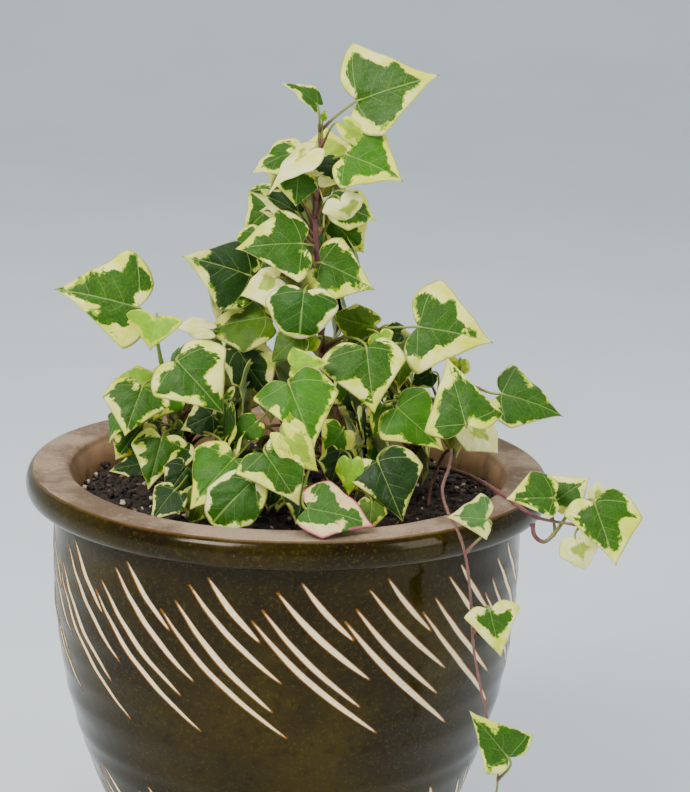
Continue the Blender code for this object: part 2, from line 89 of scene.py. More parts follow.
# The leaves of each stem: name, base and length in mm; heading, lean and roll of its midrib in degrees;
# its lobes as (how far along, how far out) on the left and on the right in leaf lengths; droop and cup in
# radians of bend per leaf length; its look; turn, the side of the plant that it faces (0 is the front).
# crown_leaf_2 and 3, mid_leaf_1, left_leaf_1, right_leaf_1 and 3 stand a few mm or degrees from their nodes.
Leaf = namedtuple("Leaf", "name stem base length heading lean roll lobes droop cup look turn",
                  defaults=(0,))
LEAF_ROWS = {
    "main_stem": [
        ("crown_leaf_1", (36, -12, 517), 53, 25, 15, -15, (0.12, 0.7, 0.2, 0.5), 0.3, 0.2, "edged"),
        ("crown_leaf_2", (31, -31, 487), 38, -13, 20, -25, (0.32, 0.72, 0.15, 0.58), 0.4, 0.3, "green"),
        ("crown_leaf_3", (12, -17, 515), 26, 134, 10, 45, (0.28, 0.34, 0.3, 0.34), 0.5, -0.8, "edged"),
        ("crown_leaf_4", (18, 10, 474), 27, 88, -20, 0, (0.4, 0.62, 0.45, 0.62), 0.4, 0.3, "pale"),
        ("crown_leaf_5", (1, -8, 485), 32, -165, 10, 40, (0.38, 0.48, 0.25, 0.5), 0.4, 0.3, "edged"),
        ("crown_leaf_6", (10, -30, 490), 40, -148, 10, 55, (0.2, 0.42, 0.1, 0.46), 0.4, 0.7, "cream"),
        ("crown_leaf_7", (2, -8, 447), 34, 145, 10, 50, (0.3, 0.45, 0.35, 0.45), 0.3, 0.4, "dark"),
        ("crown_leaf_8", (-10, 14, 450), 33, -140, 0, 15, (0.4, 0.45, 0.33, 0.58), 0.4, 0.3, "edged"),
        ("crown_leaf_9", (27, -36, 461), 24, -62, 20, 0, (0.4, 0.62, 0.15, 0.58), 1.6, 0.9, "cream"),
        ("crown_leaf_10", (24, 8, 440), 31, -50, 0, 20, (0.4, 0.58, 0.4, 0.5), 0.4, 0.3, "edged"),
        ("mid_leaf_2", (5, -44, 435), 41, 177, 15, 20, (0.1, 0.6, 0.3, 0.58), 0.4, 0.3, "edged"),
        ("mid_leaf_4", (7, -60, 409), 32, -98, 35, 5, (0.22, 0.68, 0.26, 0.76), 0.9, 0.5, "round"),
        ("mid_leaf_5", (17, -36, 422), 37, -15, 18, -25, (0.12, 0.62, 0.38, 0.6), 0.4, 0.3, "edged"),
        ("front_leaf_2", (45, -62, 376), 41, -81, 35, 0, (0.23, 0.56, 0.22, 0.74), 0.4, 0.2, "edged"),
        ("right_leaf_1", (77, -28, 382), 48, -3, 12, -22, (0.17, 0.76, 0.1, 0.64), 0.3, 0.2, "edged"),
        ("back_leaf_1", (6, 26, 470), 40, -60, 20, 0, (0.2, 0.6, 0.2, 0.58), 0.4, 0.3, "edged", 180),
        ("back_leaf_2", (-6, 34, 424), 42, -110, 20, 10, (0.2, 0.6, 0.2, 0.6), 0.4, 0.3, "edged", 165),
        ("back_leaf_5", (52, 36, 362), 44, -110, 25, 0, (0.2, 0.62, 0.2, 0.6), 0.4, 0.3, "edged", 160),
    ],
    "left_stem": [
        ("mid_leaf_1", (-26, -12, 408), 44, 157, 10, 30, (0.3, 0.66, 0.3, 0.5), 0.3, 0.3, "dark"),
        ("mid_leaf_3", (-9, -30, 411), 27, -165, 10, 30, (0.45, 0.62, 0.3, 0.42), 0.5, 0.6, "cream"),
        ("mid_leaf_6", (-16, -22, 384), 43, -176, 5, 35, (0.38, 0.52, 0.23, 0.42), 0.4, 0.3, "olive"),
        ("left_leaf_3", (-68, -62, 365), 44, -39, 30, -10, (0.3, 0.62, 0.16, 0.56), 0.4, 0.3, "edged"),
        ("left_leaf_7", (-33, -76, 309), 41, -139, 28, 22, (0.42, 0.42, 0.25, 0.6), 0.4, 0.3, "green"),
        ("back_leaf_3", (-30, 38, 392), 42, -70, 20, 0, (0.2, 0.6, 0.22, 0.6), 0.4, 0.3, "green", 200),
        ("back_leaf_6", (-12, 50, 338), 42, -90, 25, 0, (0.2, 0.6, 0.2, 0.6), 0.5, 0.3, "edged", 180),
    ],
    "left_shoot": [
        ("left_leaf_1", (-94, -20, 388), 53, 161, 12, 22, (0.08, 0.54, 0.25, 0.7), 0.3, 0.2, "edged"),
        ("left_leaf_2", (-82, -42, 387), 21, -100, 30, 0, (0.05, 0.85, 0.12, 0.88), 0.5, -0.5, "young"),
        ("left_leaf_4", (-90, -36, 342), 33, -112, 35, 5, (0.16, 0.6, 0.4, 0.66), 0.4, 0.3, "edged"),
        ("left_leaf_5", (-92, -2, 310), 29, -126, 25, -5, (0.35, 0.55, 0.28, 0.72), 0.4, 0.3, "edged"),
        ("left_leaf_6", (-78, -32, 309), 34, -105, 35, 0, (0.08, 0.56, 0.24, 0.52), 0.4, 0.3, "edged"),
        ("back_leaf_4", (-58, 34, 338), 42, -70, 25, 0, (0.18, 0.6, 0.2, 0.62), 0.4, 0.3, "edged", 190),
    ],
    "front_stem": [
        ("mid_leaf_7", (50, -26, 381), 28, 168, 10, -25, (0.4, 0.58, 0.5, 0.42), 0.4, 0.3, "olive"),
        ("left_leaf_8", (-22, -110, 304), 36, -140, 25, 10, (0.46, 0.5, 0.52, 0.46), 0.6, 0.3, "round"),
        ("left_leaf_9", (-14, -114, 324), 39, -50, 30, -5, (0.45, 0.44, 0.02, 0.54), 0.5, 0.3, "edged"),
        ("front_leaf_1", (-1, -94, 361), 43, -64, 38, 0, (0.36, 0.6, 0.02, 0.54), 0.4, 0.2, "green"),
        ("front_leaf_3", (1, -74, 366), 24, 19, 20, -20, (0.02, 0.55, 0.23, 0.38), 0.4, 0.2, "young"),
        ("rim_leaf_1", (12, -140, 298), 41, -3, 8, -45, (0.2, 0.74, 0.28, 0.48), 0.3, 0.3, "pink"),
    ],
    "right_stem": [
        ("front_leaf_4", (65, -62, 339), 39, -35, 22, -10, (0.16, 0.57, 0.14, 0.54), 0.4, 0.3, "green"),
        ("rim_leaf_2", (53, -88, 313), 40, -63, 35, 0, (0.31, 0.62, 0.1, 0.5), 0.4, 0.3, "dark"),
        ("right_leaf_2", (105, -80, 335), 45, 107, -22, 0, (0.04, 0.56, 0.02, 0.52), 0.3, 0.3, "edged"),
        ("right_leaf_3", (131, -16, 338), 42, -8, 12, -30, (0.05, 0.58, 0.26, 0.52), 0.4, 0.3, "edged"),
        ("back_leaf_7", (98, 22, 322), 40, -100, 25, 0, (0.2, 0.6, 0.2, 0.6), 0.4, 0.3, "green", 150),
    ],
    "trailing_stem": [
        ("trailing_leaf_1", (115, -143, 295), 24, 176, -5, 20, (-0.05, 0.5, 0.22, 0.7), 0.3, 0.4, "grey"),
        ("trailing_leaf_2", (119, -144, 240), 31, -74, 10, 0, (0.08, 0.57, 0.02, 0.5), 0.3, 0.3, "edged"),
        ("trailing_leaf_3", (134, -142, 148), 37, 130, 0, 0, (0.05, 0.44, 0.02, 0.54), 0.3, 0.3, "edged"),
    ],
    "runner_stem": [
        ("runner_leaf_1", (155, -120, 302), 28, 178, 10, 10, (0.05, 0.42, 0.42, 0.6), 0.3, 0.3, "edged"),
        ("runner_leaf_4", (169, -126, 279), 25, -68, 10, 0, (0.4, 0.48, 0.28, 0.5), 0.7, 0.5, "cream"),
    ],
    "runner_side_stem": [
        ("runner_leaf_2", (159, -104, 296), 24, 40, 0, -20, (0.15, 0.72, 0.36, 0.58), 0.3, 0.3, "edged"),
        ("runner_leaf_3", (179, -124, 301), 39, -69, 28, 5, (0.45, 0.62, 0.02, 0.5), 0.3, 0.3, "edged"),
    ],
}

# Smaller leaves and buds that stand for no CAD node: the same columns as above.
SMALL_LEAF_ROWS = {
    "main_stem": [
        ("crown_bud_1", (2, -22, 474), 21, -94, 25, 0, (0.4, 0.6, 0.4, 0.62), 0.4, 0.3, "edged"),
        ("crown_bud_2", (27, -24, 479), 20, 172, 15, 30, (0.3, 0.5, 0.35, 0.5), 0.5, 0.5, "dark"),
        ("crown_bud_3", (25, -8, 452), 28, -10, 5, -25, (0.5, 0.6, 0.4, 0.5), 0.4, 0.3, "edged"),
        ("crown_bud_4", (-2, 2, 447), 20, 178, 10, 20, (0.3, 0.55, 0.3, 0.5), 0.3, 0.3, "dark"),
        ("crown_bud_5", (16, -9, 505), 7, 78, 10, 0, (0.2, 0.4, 0.2, 0.4), 0.6, 0.9, "young"),
        ("crown_bud_6", (28, -26, 505), 23, -38, 15, -25, (0.4, 0.5, 0.3, 0.3), 0.9, 0.9, "pale"),
        ("crown_bud_7", (14, -24, 472), 21, 40, 0, -20, (0.45, 0.6, 0.5, 0.5), 0.5, 0.5, "cream"),
        ("mid_bud_3", (53, -34, 378), 14, -60, 20, 0, (0.2, 0.62, 0.2, 0.62), 0.5, 0.3, "young"),
        ("mid_bud_4", (68, -14, 374), 16, 165, 10, 20, (0.3, 0.5, 0.3, 0.5), 0.4, 0.3, "dark"),
        ("mid_bud_6", (4, -46, 378), 24, -145, 20, 20, (0.3, 0.5, 0.3, 0.5), 0.5, 0.4, "olive"),
        ("mid_bud_7", (14, -38, 376), 15, -150, 10, 20, (0.3, 0.5, 0.3, 0.5), 0.4, 0.4, "young"),
        ("side_leaf_1", (26, 14, 470), 34, -60, 25, 0, (0.2, 0.58, 0.22, 0.6), 0.5, 0.3, "edged", 110),
        ("side_leaf_2", (-4, 16, 472), 32, -110, 25, 0, (0.2, 0.58, 0.22, 0.6), 0.5, 0.3, "edged", 235),
        ("side_leaf_3", (34, 12, 428), 38, -80, 30, 0, (0.2, 0.6, 0.22, 0.58), 0.4, 0.3, "green", 100),
        ("side_leaf_6", (60, 26, 352), 38, -100, 30, 0, (0.2, 0.6, 0.22, 0.58), 0.4, 0.3, "edged", 120),
        ("side_leaf_7", (2, 46, 446), 40, -80, 30, 0, (0.22, 0.6, 0.2, 0.6), 0.5, 0.3, "edged", 175),
        ("side_leaf_8", (4, 60, 394), 42, -100, 35, 0, (0.2, 0.6, 0.2, 0.6), 0.4, 0.3, "edged", 185),
        ("side_leaf_9", (34, 62, 350), 42, -80, 40, 0, (0.2, 0.6, 0.2, 0.6), 0.4, 0.3, "green", 165),
        ("side_leaf_13", (30, 82, 312), 40, -100, 45, 0, (0.2, 0.6, 0.22, 0.6), 0.4, 0.3, "edged", 170),
    ],
    "left_stem": [
        ("mid_bud_1", (-49, -28, 377), 24, 166, 10, 20, (0.4, 0.36, 0.5, 0.26), 0.5, -1.2, "cream"),
        ("mid_bud_2", (-20, 10, 428), 28, -130, 10, 20, (0.3, 0.55, 0.3, 0.55), 0.4, 0.3, "edged"),
        ("mid_bud_5", (-32, -26, 364), 36, -58, 15, 20, (0.45, 0.52, 0.45, 0.46), 0.4, 0.3, "dark"),
        ("left_bud_3", (-20, -52, 326), 19, -145, 25, 10, (0.3, 0.5, 0.3, 0.5), 0.4, 0.3, "green"),
        ("side_leaf_4", (-18, 26, 410), 38, -100, 30, 0, (0.22, 0.6, 0.2, 0.6), 0.4, 0.3, "edged", 240),
        ("side_leaf_5", (-44, 26, 352), 40, -80, 30, 0, (0.2, 0.6, 0.22, 0.58), 0.4, 0.3, "edged", 245),
        ("side_leaf_10", (-46, 60, 350), 42, -100, 40, 0, (0.2, 0.6, 0.22, 0.6), 0.4, 0.3, "edged", 200),
        ("side_leaf_12", (-30, 76, 318), 40, -80, 45, 0, (0.2, 0.6, 0.22, 0.6), 0.4, 0.3, "edged", 190),
    ],
    "left_shoot": [
        ("left_bud_1", (-87, -2, 336), 23, 163, 10, 30, (0.45, 0.46, 0.45, 0.5), 0.4, 0.3, "young"),
        ("left_bud_2", (-92, 30, 275), 24, -172, 5, 40, (0.35, 0.42, 0.32, 0.44), 0.2, 0.3, "dark"),
        # left_bud_4 to 6 are dark leaves low by the soil: their dark colour partly stands for painted shade
        # among the low leaves.
        ("left_bud_4", (-48, -24, 322), 22, -160, 20, 10, (0.3, 0.56, 0.3, 0.5), 0.4, 0.3, "dark"),
        ("left_bud_5", (-62, -44, 294), 24, -130, 35, 0, (0.3, 0.56, 0.3, 0.5), 0.4, 0.3, "dark"),
        ("left_bud_6", (-52, -62, 284), 24, -110, 40, 0, (0.3, 0.56, 0.3, 0.5), 0.4, 0.3, "olive"),
        ("side_leaf_11", (-96, 34, 316), 36, -90, 40, 0, (0.2, 0.6, 0.22, 0.6), 0.4, 0.3, "edged", 240),
        ("side_leaf_16", (-100, -24, 330), 34, -100, 35, 0, (0.2, 0.58, 0.22, 0.58), 0.4, 0.3, "green", 290),
    ],
    "front_stem": [
        ("front_bud_1", (-4, -114, 336), 34, -44, 16, 0, (0.42, 0.3, 0.46, 0.34), 0.6, 0.7, "pale"),
        ("front_bud_2", (32, -60, 324), 24, -125, 20, 0, (0.28, 0.48, 0.1, 0.56), 0.4, 0.3, "green"),
        # front_bud_3, 7 and 8 are dark leaves low by the soil: their dark colour partly stands for painted
        # shade among the low leaves.
        ("front_bud_3", (31, -66, 312), 23, -106, 25, 0, (0.35, 0.5, 0.4, 0.48), 0.3, 0.3, "dark"),
        ("front_bud_4", (37, -88, 313), 22, -92, 25, 0, (0.3, 0.42, 0.3, 0.42), 0.5, 0.3, "young"),
        ("front_bud_7", (50, -96, 290), 20, -95, 40, 0, (0.3, 0.5, 0.3, 0.5), 0.4, 0.3, "olive"),
        ("front_bud_8", (-8, -70, 300), 26, -100, 35, 0, (0.25, 0.56, 0.25, 0.56), 0.4, 0.3, "dark"),
    ],
    "right_stem": [
        ("front_bud_5", (56, -52, 338), 21, -110, 20, 20, (0.3, 0.46, 0.3, 0.4), 0.4, 0.3, "green"),
        ("front_bud_6", (68, -34, 366), 23, -100, 15, 20, (0.3, 0.46, 0.3, 0.5), 0.4, 0.3, "olive"),
        ("right_bud_1", (107, -52, 329), 30, -30, 20, -20, (0.45, 0.46, 0.4, 0.48), 0.7, 0.5, "cream"),
        ("right_bud_2", (104, -14, 358), 16, -100, 10, 0, (0.3, 0.5, 0.3, 0.5), 0.5, 0.4, "pale"),
        ("right_bud_3", (86, -30, 354), 17, -150, 10, 20, (0.3, 0.5, 0.3, 0.5), 0.4, 0.3, "dark"),
        ("side_leaf_14", (98, 20, 320), 32, -90, 25, 0, (0.2, 0.6, 0.22, 0.6), 0.4, 0.3, "edged", 110),
        ("side_leaf_15", (74, 50, 318), 38, -70, 40, 0, (0.2, 0.6, 0.22, 0.6), 0.4, 0.3, "edged", 150),
    ],
    "runner_side_stem": [
        ("runner_bud_1", (182, -112, 298), 13, 88, 0, 0, (0.45, 0.46, 0.45, 0.5), 0.4, 0.8, "cream"),
    ],
}

STEM_SIDES = 14
STALK_SIDES = 9
STALK_STEPS = 16
STALK_DROP = 18             # a stalk leaves its stem this far below its blade
ROUTE_STEPS = 14            # points between two of a stem's own points
LIGHT_RISE = 15             # blades face the front, tilted up by this many degrees
BLADE_CENTRE = 0.28
BLADE_THICKNESS = 0.9
PLAIN_LOBES = (0.2, 0.58, 0.2, 0.58)
EDGE_POINTS = 52            # along each side of a blade
RINGS = 12
MORE_BEND = 1.4             # how much more the fine blades bend than the CAD ones
LOBE_CORNER = 0.7           # from 0, a round lobe, to 1, a pointed one

# Leaves worked out by a rule: how many near the soil, and rows of them that face the plant's two sides:
# height, reach to the left, reach to the right, how many on each side, from which Y, to which Y
GROUND_LEAVES = 16
SIDE_ROWS = [
    (304, 44, 52, 3, -60, -24), (324, 40, 46, 3, -54, -20), (346, 30, 40, 2, -36, -14),
    (310, 84, 90, 4, -13, 61), (338, 74, 76, 4, -12, 53), (366, 44, 54, 3, -10, 45),
    (394, 30, 34, 3, -8, 37), (422, 16, 24, 2, -6, 28), (450, 10, 16, 2, -5, 20),
]

# Outer wall from under the band down to the foot, and inner wall from the mouth down: radius, height
BODY_WALL = [
    (147, 262), (147, 230), (146, 197), (143, 170), (138.5, 144),
    (131.5, 118), (122.5, 92), (112, 66), (101.5, 38), (92, 12), (88, 3),
]
INNER_WALL = [(136, 283), (132, 266), (131, 200), (120, 130), (98, 66), (78, 14)]
RIM_RADIUS = 164
MOUTH_RADIUS = 136
RIM_DEPTH = 19

# Slanting cuts through the glaze, repeated round the pot: (degrees, height) of the start and the end
CUT_GROUPS = 17
CUTS = [
    ((0, 231), (30.7, 154)), ((2.7, 238), (26, 176)), ((6.3, 249), (28.2, 191)), ((11.2, 255), (23.3, 219)),
]
CUT_START = -50.4           # where the first group starts, degrees from the front
CUT_BOW = 2.2               # degrees that the longest cut sags from the straight line between its ends
CUT_WIDTH = 3.3
CUT_DEPTH = 0.9
LOWER_ROW_DROP = 148        # the second row lies this far below the first
LOWER_ROW_LENGTH = 0.78


# Node helpers

class Nodes:
    """Short ways to add and join the nodes of one material."""

    def __init__(self, name):
        self.material = bpy.data.materials.new(name)
        self.material.use_nodes = True
        self.tree = self.material.node_tree
        self.shader = self.tree.nodes["Principled BSDF"]

    def add(self, kind, **settings):
        node = self.tree.nodes.new(kind)
        for key, value in settings.items():
            setattr(node, key, value)
        return node

    def put(self, socket, value):
        if isinstance(value, bpy.types.NodeSocket):
            self.tree.links.new(value, socket)
        else:
            socket.default_value = value

    def fill(self, sockets, values):
        for socket, value in zip(sockets, values):
            self.put(socket, value)

    def math(self, operation, *values):
        node = self.add("ShaderNodeMath", operation=operation)
        self.fill(node.inputs, values)
        return node.outputs[0]

    def plus(self, first, second):
        return self.math("ADD", first, second)

    def minus(self, first, second):
        return self.math("SUBTRACT", first, second)

    def times(self, first, second):
        return self.math("MULTIPLY", first, second)

    def attribute(self, name, output="Fac"):
        return self.add("ShaderNodeAttribute", attribute_name=name).outputs[output]

    def place(self):
        return self.add("ShaderNodeTexCoord").outputs["Object"]

    def split(self, vector):
        node = self.add("ShaderNodeSeparateXYZ")
        self.put(node.inputs[0], vector)
        return node.outputs

    def join(self, *values):
        node = self.add("ShaderNodeCombineXYZ")
        self.fill(node.inputs, values)
        return node.outputs[0]

    def scaled(self, vector, scale):
        node = self.add("ShaderNodeVectorMath", operation="MULTIPLY")
        self.fill(node.inputs, (vector, scale))
        return node.outputs[0]

    def noise(self, vector, scale, detail=3, roughness=0.55):
        node = self.add("ShaderNodeTexNoise")
        names = ("Vector", "Scale", "Detail", "Roughness")
        for name, value in zip(names, (vector, scale, detail, roughness)):
            self.put(node.inputs[name], value)
        return node.outputs["Fac"]

    def swing(self, vector, scale, detail=3, roughness=0.55):
        """Noise about zero, half of it below."""
        return self.minus(self.noise(vector, scale, detail, roughness), 0.5)

    def cells(self, vector, scale):
        node = self.add("ShaderNodeTexVoronoi")
        self.put(node.inputs["Vector"], vector)
        self.put(node.inputs["Scale"], scale)
        return node.outputs["Distance"]

    def step(self, value, low, high, start=0, end=1):
        node = self.add("ShaderNodeMapRange", interpolation_type="SMOOTHSTEP")
        self.fill(node.inputs, (value, low, high, start, end))
        return node.outputs[0]

    def mix(self, share, first, second, blend="MIX"):
        """Two colours mixed by a share: each an output, three numbers from 0 to 255 or four linear ones."""
        node = self.add("ShaderNodeMix", data_type="RGBA", blend_type=blend)
        self.put(node.inputs["Factor"], share)
        for socket, colour in zip(node.inputs[6:8], (first, second)):
            on_screen = isinstance(colour, tuple) and len(colour) == 3
            self.put(socket, srgb(*colour) if on_screen else colour)
        return node.outputs[2]

    def blend(self, first, second, pattern, low, high, start=0, end=1):
        """The second colour over the first, from start to end as the pattern goes from low to high."""
        return self.mix(self.step(pattern, low, high, start, end), first, second)

    def surface(self, colour, roughness, height, distance, strength):
        """Colour, roughness and bumps of the finished material."""
        self.put(self.shader.inputs["Base Color"], colour)
        self.put(self.shader.inputs["Roughness"], roughness)
        node = self.add("ShaderNodeBump")
        self.put(node.inputs["Strength"], strength)
        self.put(node.inputs["Distance"], distance)
        self.put(node.inputs["Height"], height)
        self.put(self.shader.inputs["Normal"], node.outputs["Normal"])
        return self.material


def srgb(red, green, blue):
    """A colour given as 0 to 255 on screen, as the linear colour that a shader takes."""
    return tuple((value / 255) ** 2.2 for value in (red, green, blue)) + (1,)


def darker(colour, share):
    return tuple(value * share for value in colour)


# Leaf materials

# look: green core, paler green, margin, second margin colour, width of the margin, how ragged it is
LOOKS = {
    "edged": ((42, 80, 13), (138, 164, 22), (246, 238, 144), (216, 222, 60), 0.075, 1.0),
    "green": ((54, 100, 14), (132, 164, 20), (224, 226, 62), (238, 234, 104), 0.032, 0.8),
    "dark": ((24, 49, 10), (86, 118, 20), (236, 228, 140), (190, 200, 80), 0.042, 0.8),
    "round": ((38, 76, 14), (116, 148, 28), (248, 242, 176), (230, 230, 110), 0.070, 0.8),
    "olive": ((64, 92, 16), (116, 134, 30), (204, 200, 96), (186, 188, 64), 0.050, 1.0),
    "young": ((116, 160, 20), (156, 186, 28), (210, 216, 62), (196, 208, 44), 0.050, 0.8),
    "pale": ((142, 168, 40), (196, 202, 64), (236, 234, 104), (222, 222, 72), 0.130, 1.0),
    "cream": ((150, 168, 60), (210, 210, 96), (250, 244, 180), (238, 234, 124), 0.270, 0.6),
    "pink": ((50, 88, 24), (132, 152, 60), (236, 216, 150), (226, 190, 140), 0.090, 1.5),
    "grey": ((58, 94, 40), (116, 140, 72), (216, 212, 130), (190, 196, 96), 0.050, 0.9),
}
VEIN_COLOUR = (166, 190, 96)
HEM_COLOUR = (226, 230, 124)
TIP_COLOUR = (134, 62, 70)
RED_EDGE = (198, 92, 116)
UNDERSIDE = (150, 172, 112)


def vein_lines(kit, along, aside):
    """The main veins, 1 on a vein: the midrib and two bowed pairs from the base."""
    side = kit.math("ABSOLUTE", aside)
    lines = kit.step(side, 0.002, 0.010, 1, 0)
    for angle, reach, bow in ((84, 0.62, 0.33), (128, 0.34, 0.4)):
        turn, away = cos(radians(angle)), sin(radians(angle))
        run = kit.plus(kit.times(along, turn), kit.times(side, away))
        off = kit.minus(kit.times(along, away), kit.times(side, turn))
        off = kit.minus(off, kit.times(kit.times(run, run), bow))
        line = kit.step(kit.math("ABSOLUTE", off), 0.002, 0.008, 1, 0)
        lines = kit.math("MAXIMUM", lines, kit.times(line, kit.step(run, reach * 0.7, reach, 1, 0)))
    return lines


def side_veins(kit, along, aside):
    """Thin veins that leave the midrib in pairs and bow towards the tip."""
    side = kit.math("ABSOLUTE", aside)
    bowed = kit.plus(kit.times(side, 0.7), kit.times(kit.times(side, side), 0.9))
    rise = kit.minus(along, bowed)
    veins = 0
    for start in (0.17, 0.38, 0.58):
        line = kit.step(kit.math("ABSOLUTE", kit.minus(rise, start)), 0.001, 0.006, 1, 0)
        veins = kit.math("MAXIMUM", veins, line)
    return kit.times(veins, kit.step(side, 0.12, 0.26, 1, 0))


def green_heart(kit, place, width, ragged, lines):
    """How far inside the ragged green heart a spot lies, in leaf lengths, and a number of the leaf's own."""
    along, aside, seed = kit.split(place)
    angle = kit.math("ARCTAN2", aside, kit.plus(along, 0.12))
    radius = kit.math("SQRT", kit.plus(kit.times(along, along), kit.times(aside, aside)))
    rays = kit.join(kit.times(angle, 3.4), kit.times(radius, 4.2), seed)
    own = kit.swing(kit.join(0, 0, kit.times(seed, 1.7)), 1.0, 0)
    green = kit.minus(kit.attribute("edge"), width)
    broad, teeth, nibble = kit.swing(place, 2.4, 1), kit.swing(rays, 2.6, 3, 0.6), kit.swing(place, 21, 2)
    patterns = (own, broad, teeth, nibble, lines)
    for pattern, amount in zip(patterns, (0.22, 0.70 * ragged, 0.20 * ragged, 0.07 * ragged, 0.02)):
        green = kit.plus(green, kit.times(pattern, amount))
    return green, own


def leaf_material(look):
    """A blade's upper face: a ragged green heart, a paler green fringe, a cream margin and veins."""
    core, fringe, margin, second, width, ragged = LOOKS[look]
    kit = Nodes("leaf_" + look)
    place = kit.attribute("leaf_place", "Vector")
    along, aside, _ = kit.split(place)
    edge = kit.attribute("edge")
    lines = vein_lines(kit, along, aside)
    green, own = green_heart(kit, place, width, ragged, lines)
    inner = kit.plus(kit.minus(green, 0.020), kit.times(kit.swing(place, 6, 2), 0.10))
    shade = kit.noise(place, 3.4, 2)
    heart = kit.blend(core, darker(core, 1.18), kit.noise(place, 5, 4), 0.3, 0.7)
    heart = kit.blend(heart, fringe, kit.noise(place, 34, 4, 0.7), 0.42, 0.75, 0, 0.25)
    heart = kit.blend(heart, darker(core, 0.75), kit.noise(place, 18, 2), 0.55, 0.75, 0, 0.3)
    outside = kit.blend(margin, second, shade, 0.35, 0.65)
    outside = kit.blend(outside, second, kit.noise(place, 26, 4, 0.7), 0.48, 0.72, 0, 0.3)
    colour = kit.blend(outside, fringe, green, -0.004, 0.006)
    colour = kit.blend(colour, heart, inner, -0.004, 0.006)
    fine = kit.times(side_veins(kit, along, aside), 0.32)
    veins = kit.math("MAXIMUM", kit.times(lines, 0.48), fine)
    colour = kit.mix(kit.times(veins, kit.step(green, -0.05, 0.02, 0.3, 1)), colour, VEIN_COLOUR)
    colour = kit.mix(kit.step(own, -0.15, 0.15, 0, 0.22), colour, (96, 132, 20), "SOFT_LIGHT")
    if look == "pink":
        hem = kit.times(kit.step(edge, 0.01, 0.05, 1, 0), kit.step(shade, 0.35, 0.55))
        colour = kit.mix(hem, colour, RED_EDGE)
    else:
        colour = kit.blend(colour, HEM_COLOUR, edge, 0.006, 0.014, 0.7, 0)
    colour = kit.blend(colour, TIP_COLOUR, along, 0.94, 0.99, 0, 0.75)
    kit.shader.inputs["Specular IOR Level"].default_value = 0.22
    kit.shader.inputs["Subsurface Weight"].default_value = 0.12
    kit.shader.inputs["Subsurface Scale"].default_value = 0.002
    roughness = kit.step(kit.noise(place, 9, 3), 0.3, 0.7, 0.40, 0.52)
    cell = kit.plus(kit.cells(place, 60), kit.times(kit.noise(place, 10, 2), 1.6))
    return kit.surface(colour, roughness, kit.minus(kit.times(cell, 0.3), kit.times(veins, 0.9)), 0.0006, 0.6)


def underside_material():
    """A blade's lower face: paler, matte, with the veins standing out."""
    kit = Nodes("leaf_underside")
    place = kit.attribute("leaf_place", "Vector")
    along, aside, _ = kit.split(place)
    lines = vein_lines(kit, along, aside)
    green = kit.plus(kit.minus(kit.attribute("edge"), 0.08), kit.times(kit.swing(place, 2.6, 3), 0.7))
    colour = kit.blend((224, 220, 120), UNDERSIDE, green, -0.02, 0.03)
    colour = kit.mix(kit.times(lines, 0.6), colour, (186, 192, 104))
    roughness = kit.step(kit.noise(place, 12, 3), 0.3, 0.7, 0.5, 0.62)
    return kit.surface(colour, roughness, kit.plus(lines, kit.noise(place, 40, 2)), 0.0003, 0.5)


def stalk_material():
    """Leaf stalks: green by the blade, browner by the stem, faintly ridged."""
    kit = Nodes("leaf_stalk")
    place = kit.place()
    age = kit.plus(kit.attribute("age"), kit.times(kit.swing(place, 90, 3), 0.5))
    colour = kit.blend((132, 150, 54), (112, 68, 58), age, 0.3, 1.0)
    colour = kit.blend(colour, (160, 138, 96), kit.noise(place, 700, 2), 0.55, 0.75, 0, 0.4)
    roughness = kit.step(kit.noise(place, 300, 2), 0.3, 0.7, 0.38, 0.5)
    return kit.surface(colour, roughness, kit.noise(place, 900, 2), 0.0002, 0.6)


def stem_material(name, young, old):
    """A stem: old brown bark at the soil, purple or green towards the tip, with lengthwise streaks."""
    kit = Nodes(name)
    place = kit.place()
    streak = kit.noise(kit.scaled(place, (1, 1, 0.15)), 900, 3, 0.6)
    age = kit.plus(kit.attribute("age"), kit.times(kit.swing(place, 60, 3), 0.6))
    colour = kit.blend(old, young, age, 0.15, 0.7)
    colour = kit.blend(colour, (168, 140, 112), streak, 0.45, 0.75, 0, 0.45)
    colour = kit.blend(colour, (116, 146, 44), age, 0.84, 0.98)
    roughness = kit.step(streak, 0.3, 0.7, 0.42, 0.62)
    return kit.surface(colour, roughness, kit.plus(streak, kit.noise(place, 1500, 2)), 0.0004, 0.7)


# Pot and soil materials

def glaze_colour(kit, place, fine):
    """Dark olive glaze, clouded and speckled, duller low on the wall."""
    glaze = kit.blend((32, 24, 2), (56, 46, 5), kit.noise(place, 11, 3), 0.35, 0.68)
    glaze = kit.blend(glaze, (84, 72, 12), fine, 0.50, 0.74, 0, 0.5)
    glaze = kit.blend(glaze, (24, 17, 1), kit.noise(place, 160, 3), 0.52, 0.7, 0, 0.5)
    glaze = kit.blend(glaze, (130, 120, 44), kit.cells(place, 330), 0.06, 0.12, 0.40, 0)
    return kit.mix(kit.times(kit.attribute("low"), 0.35), glaze, (42, 34, 16))


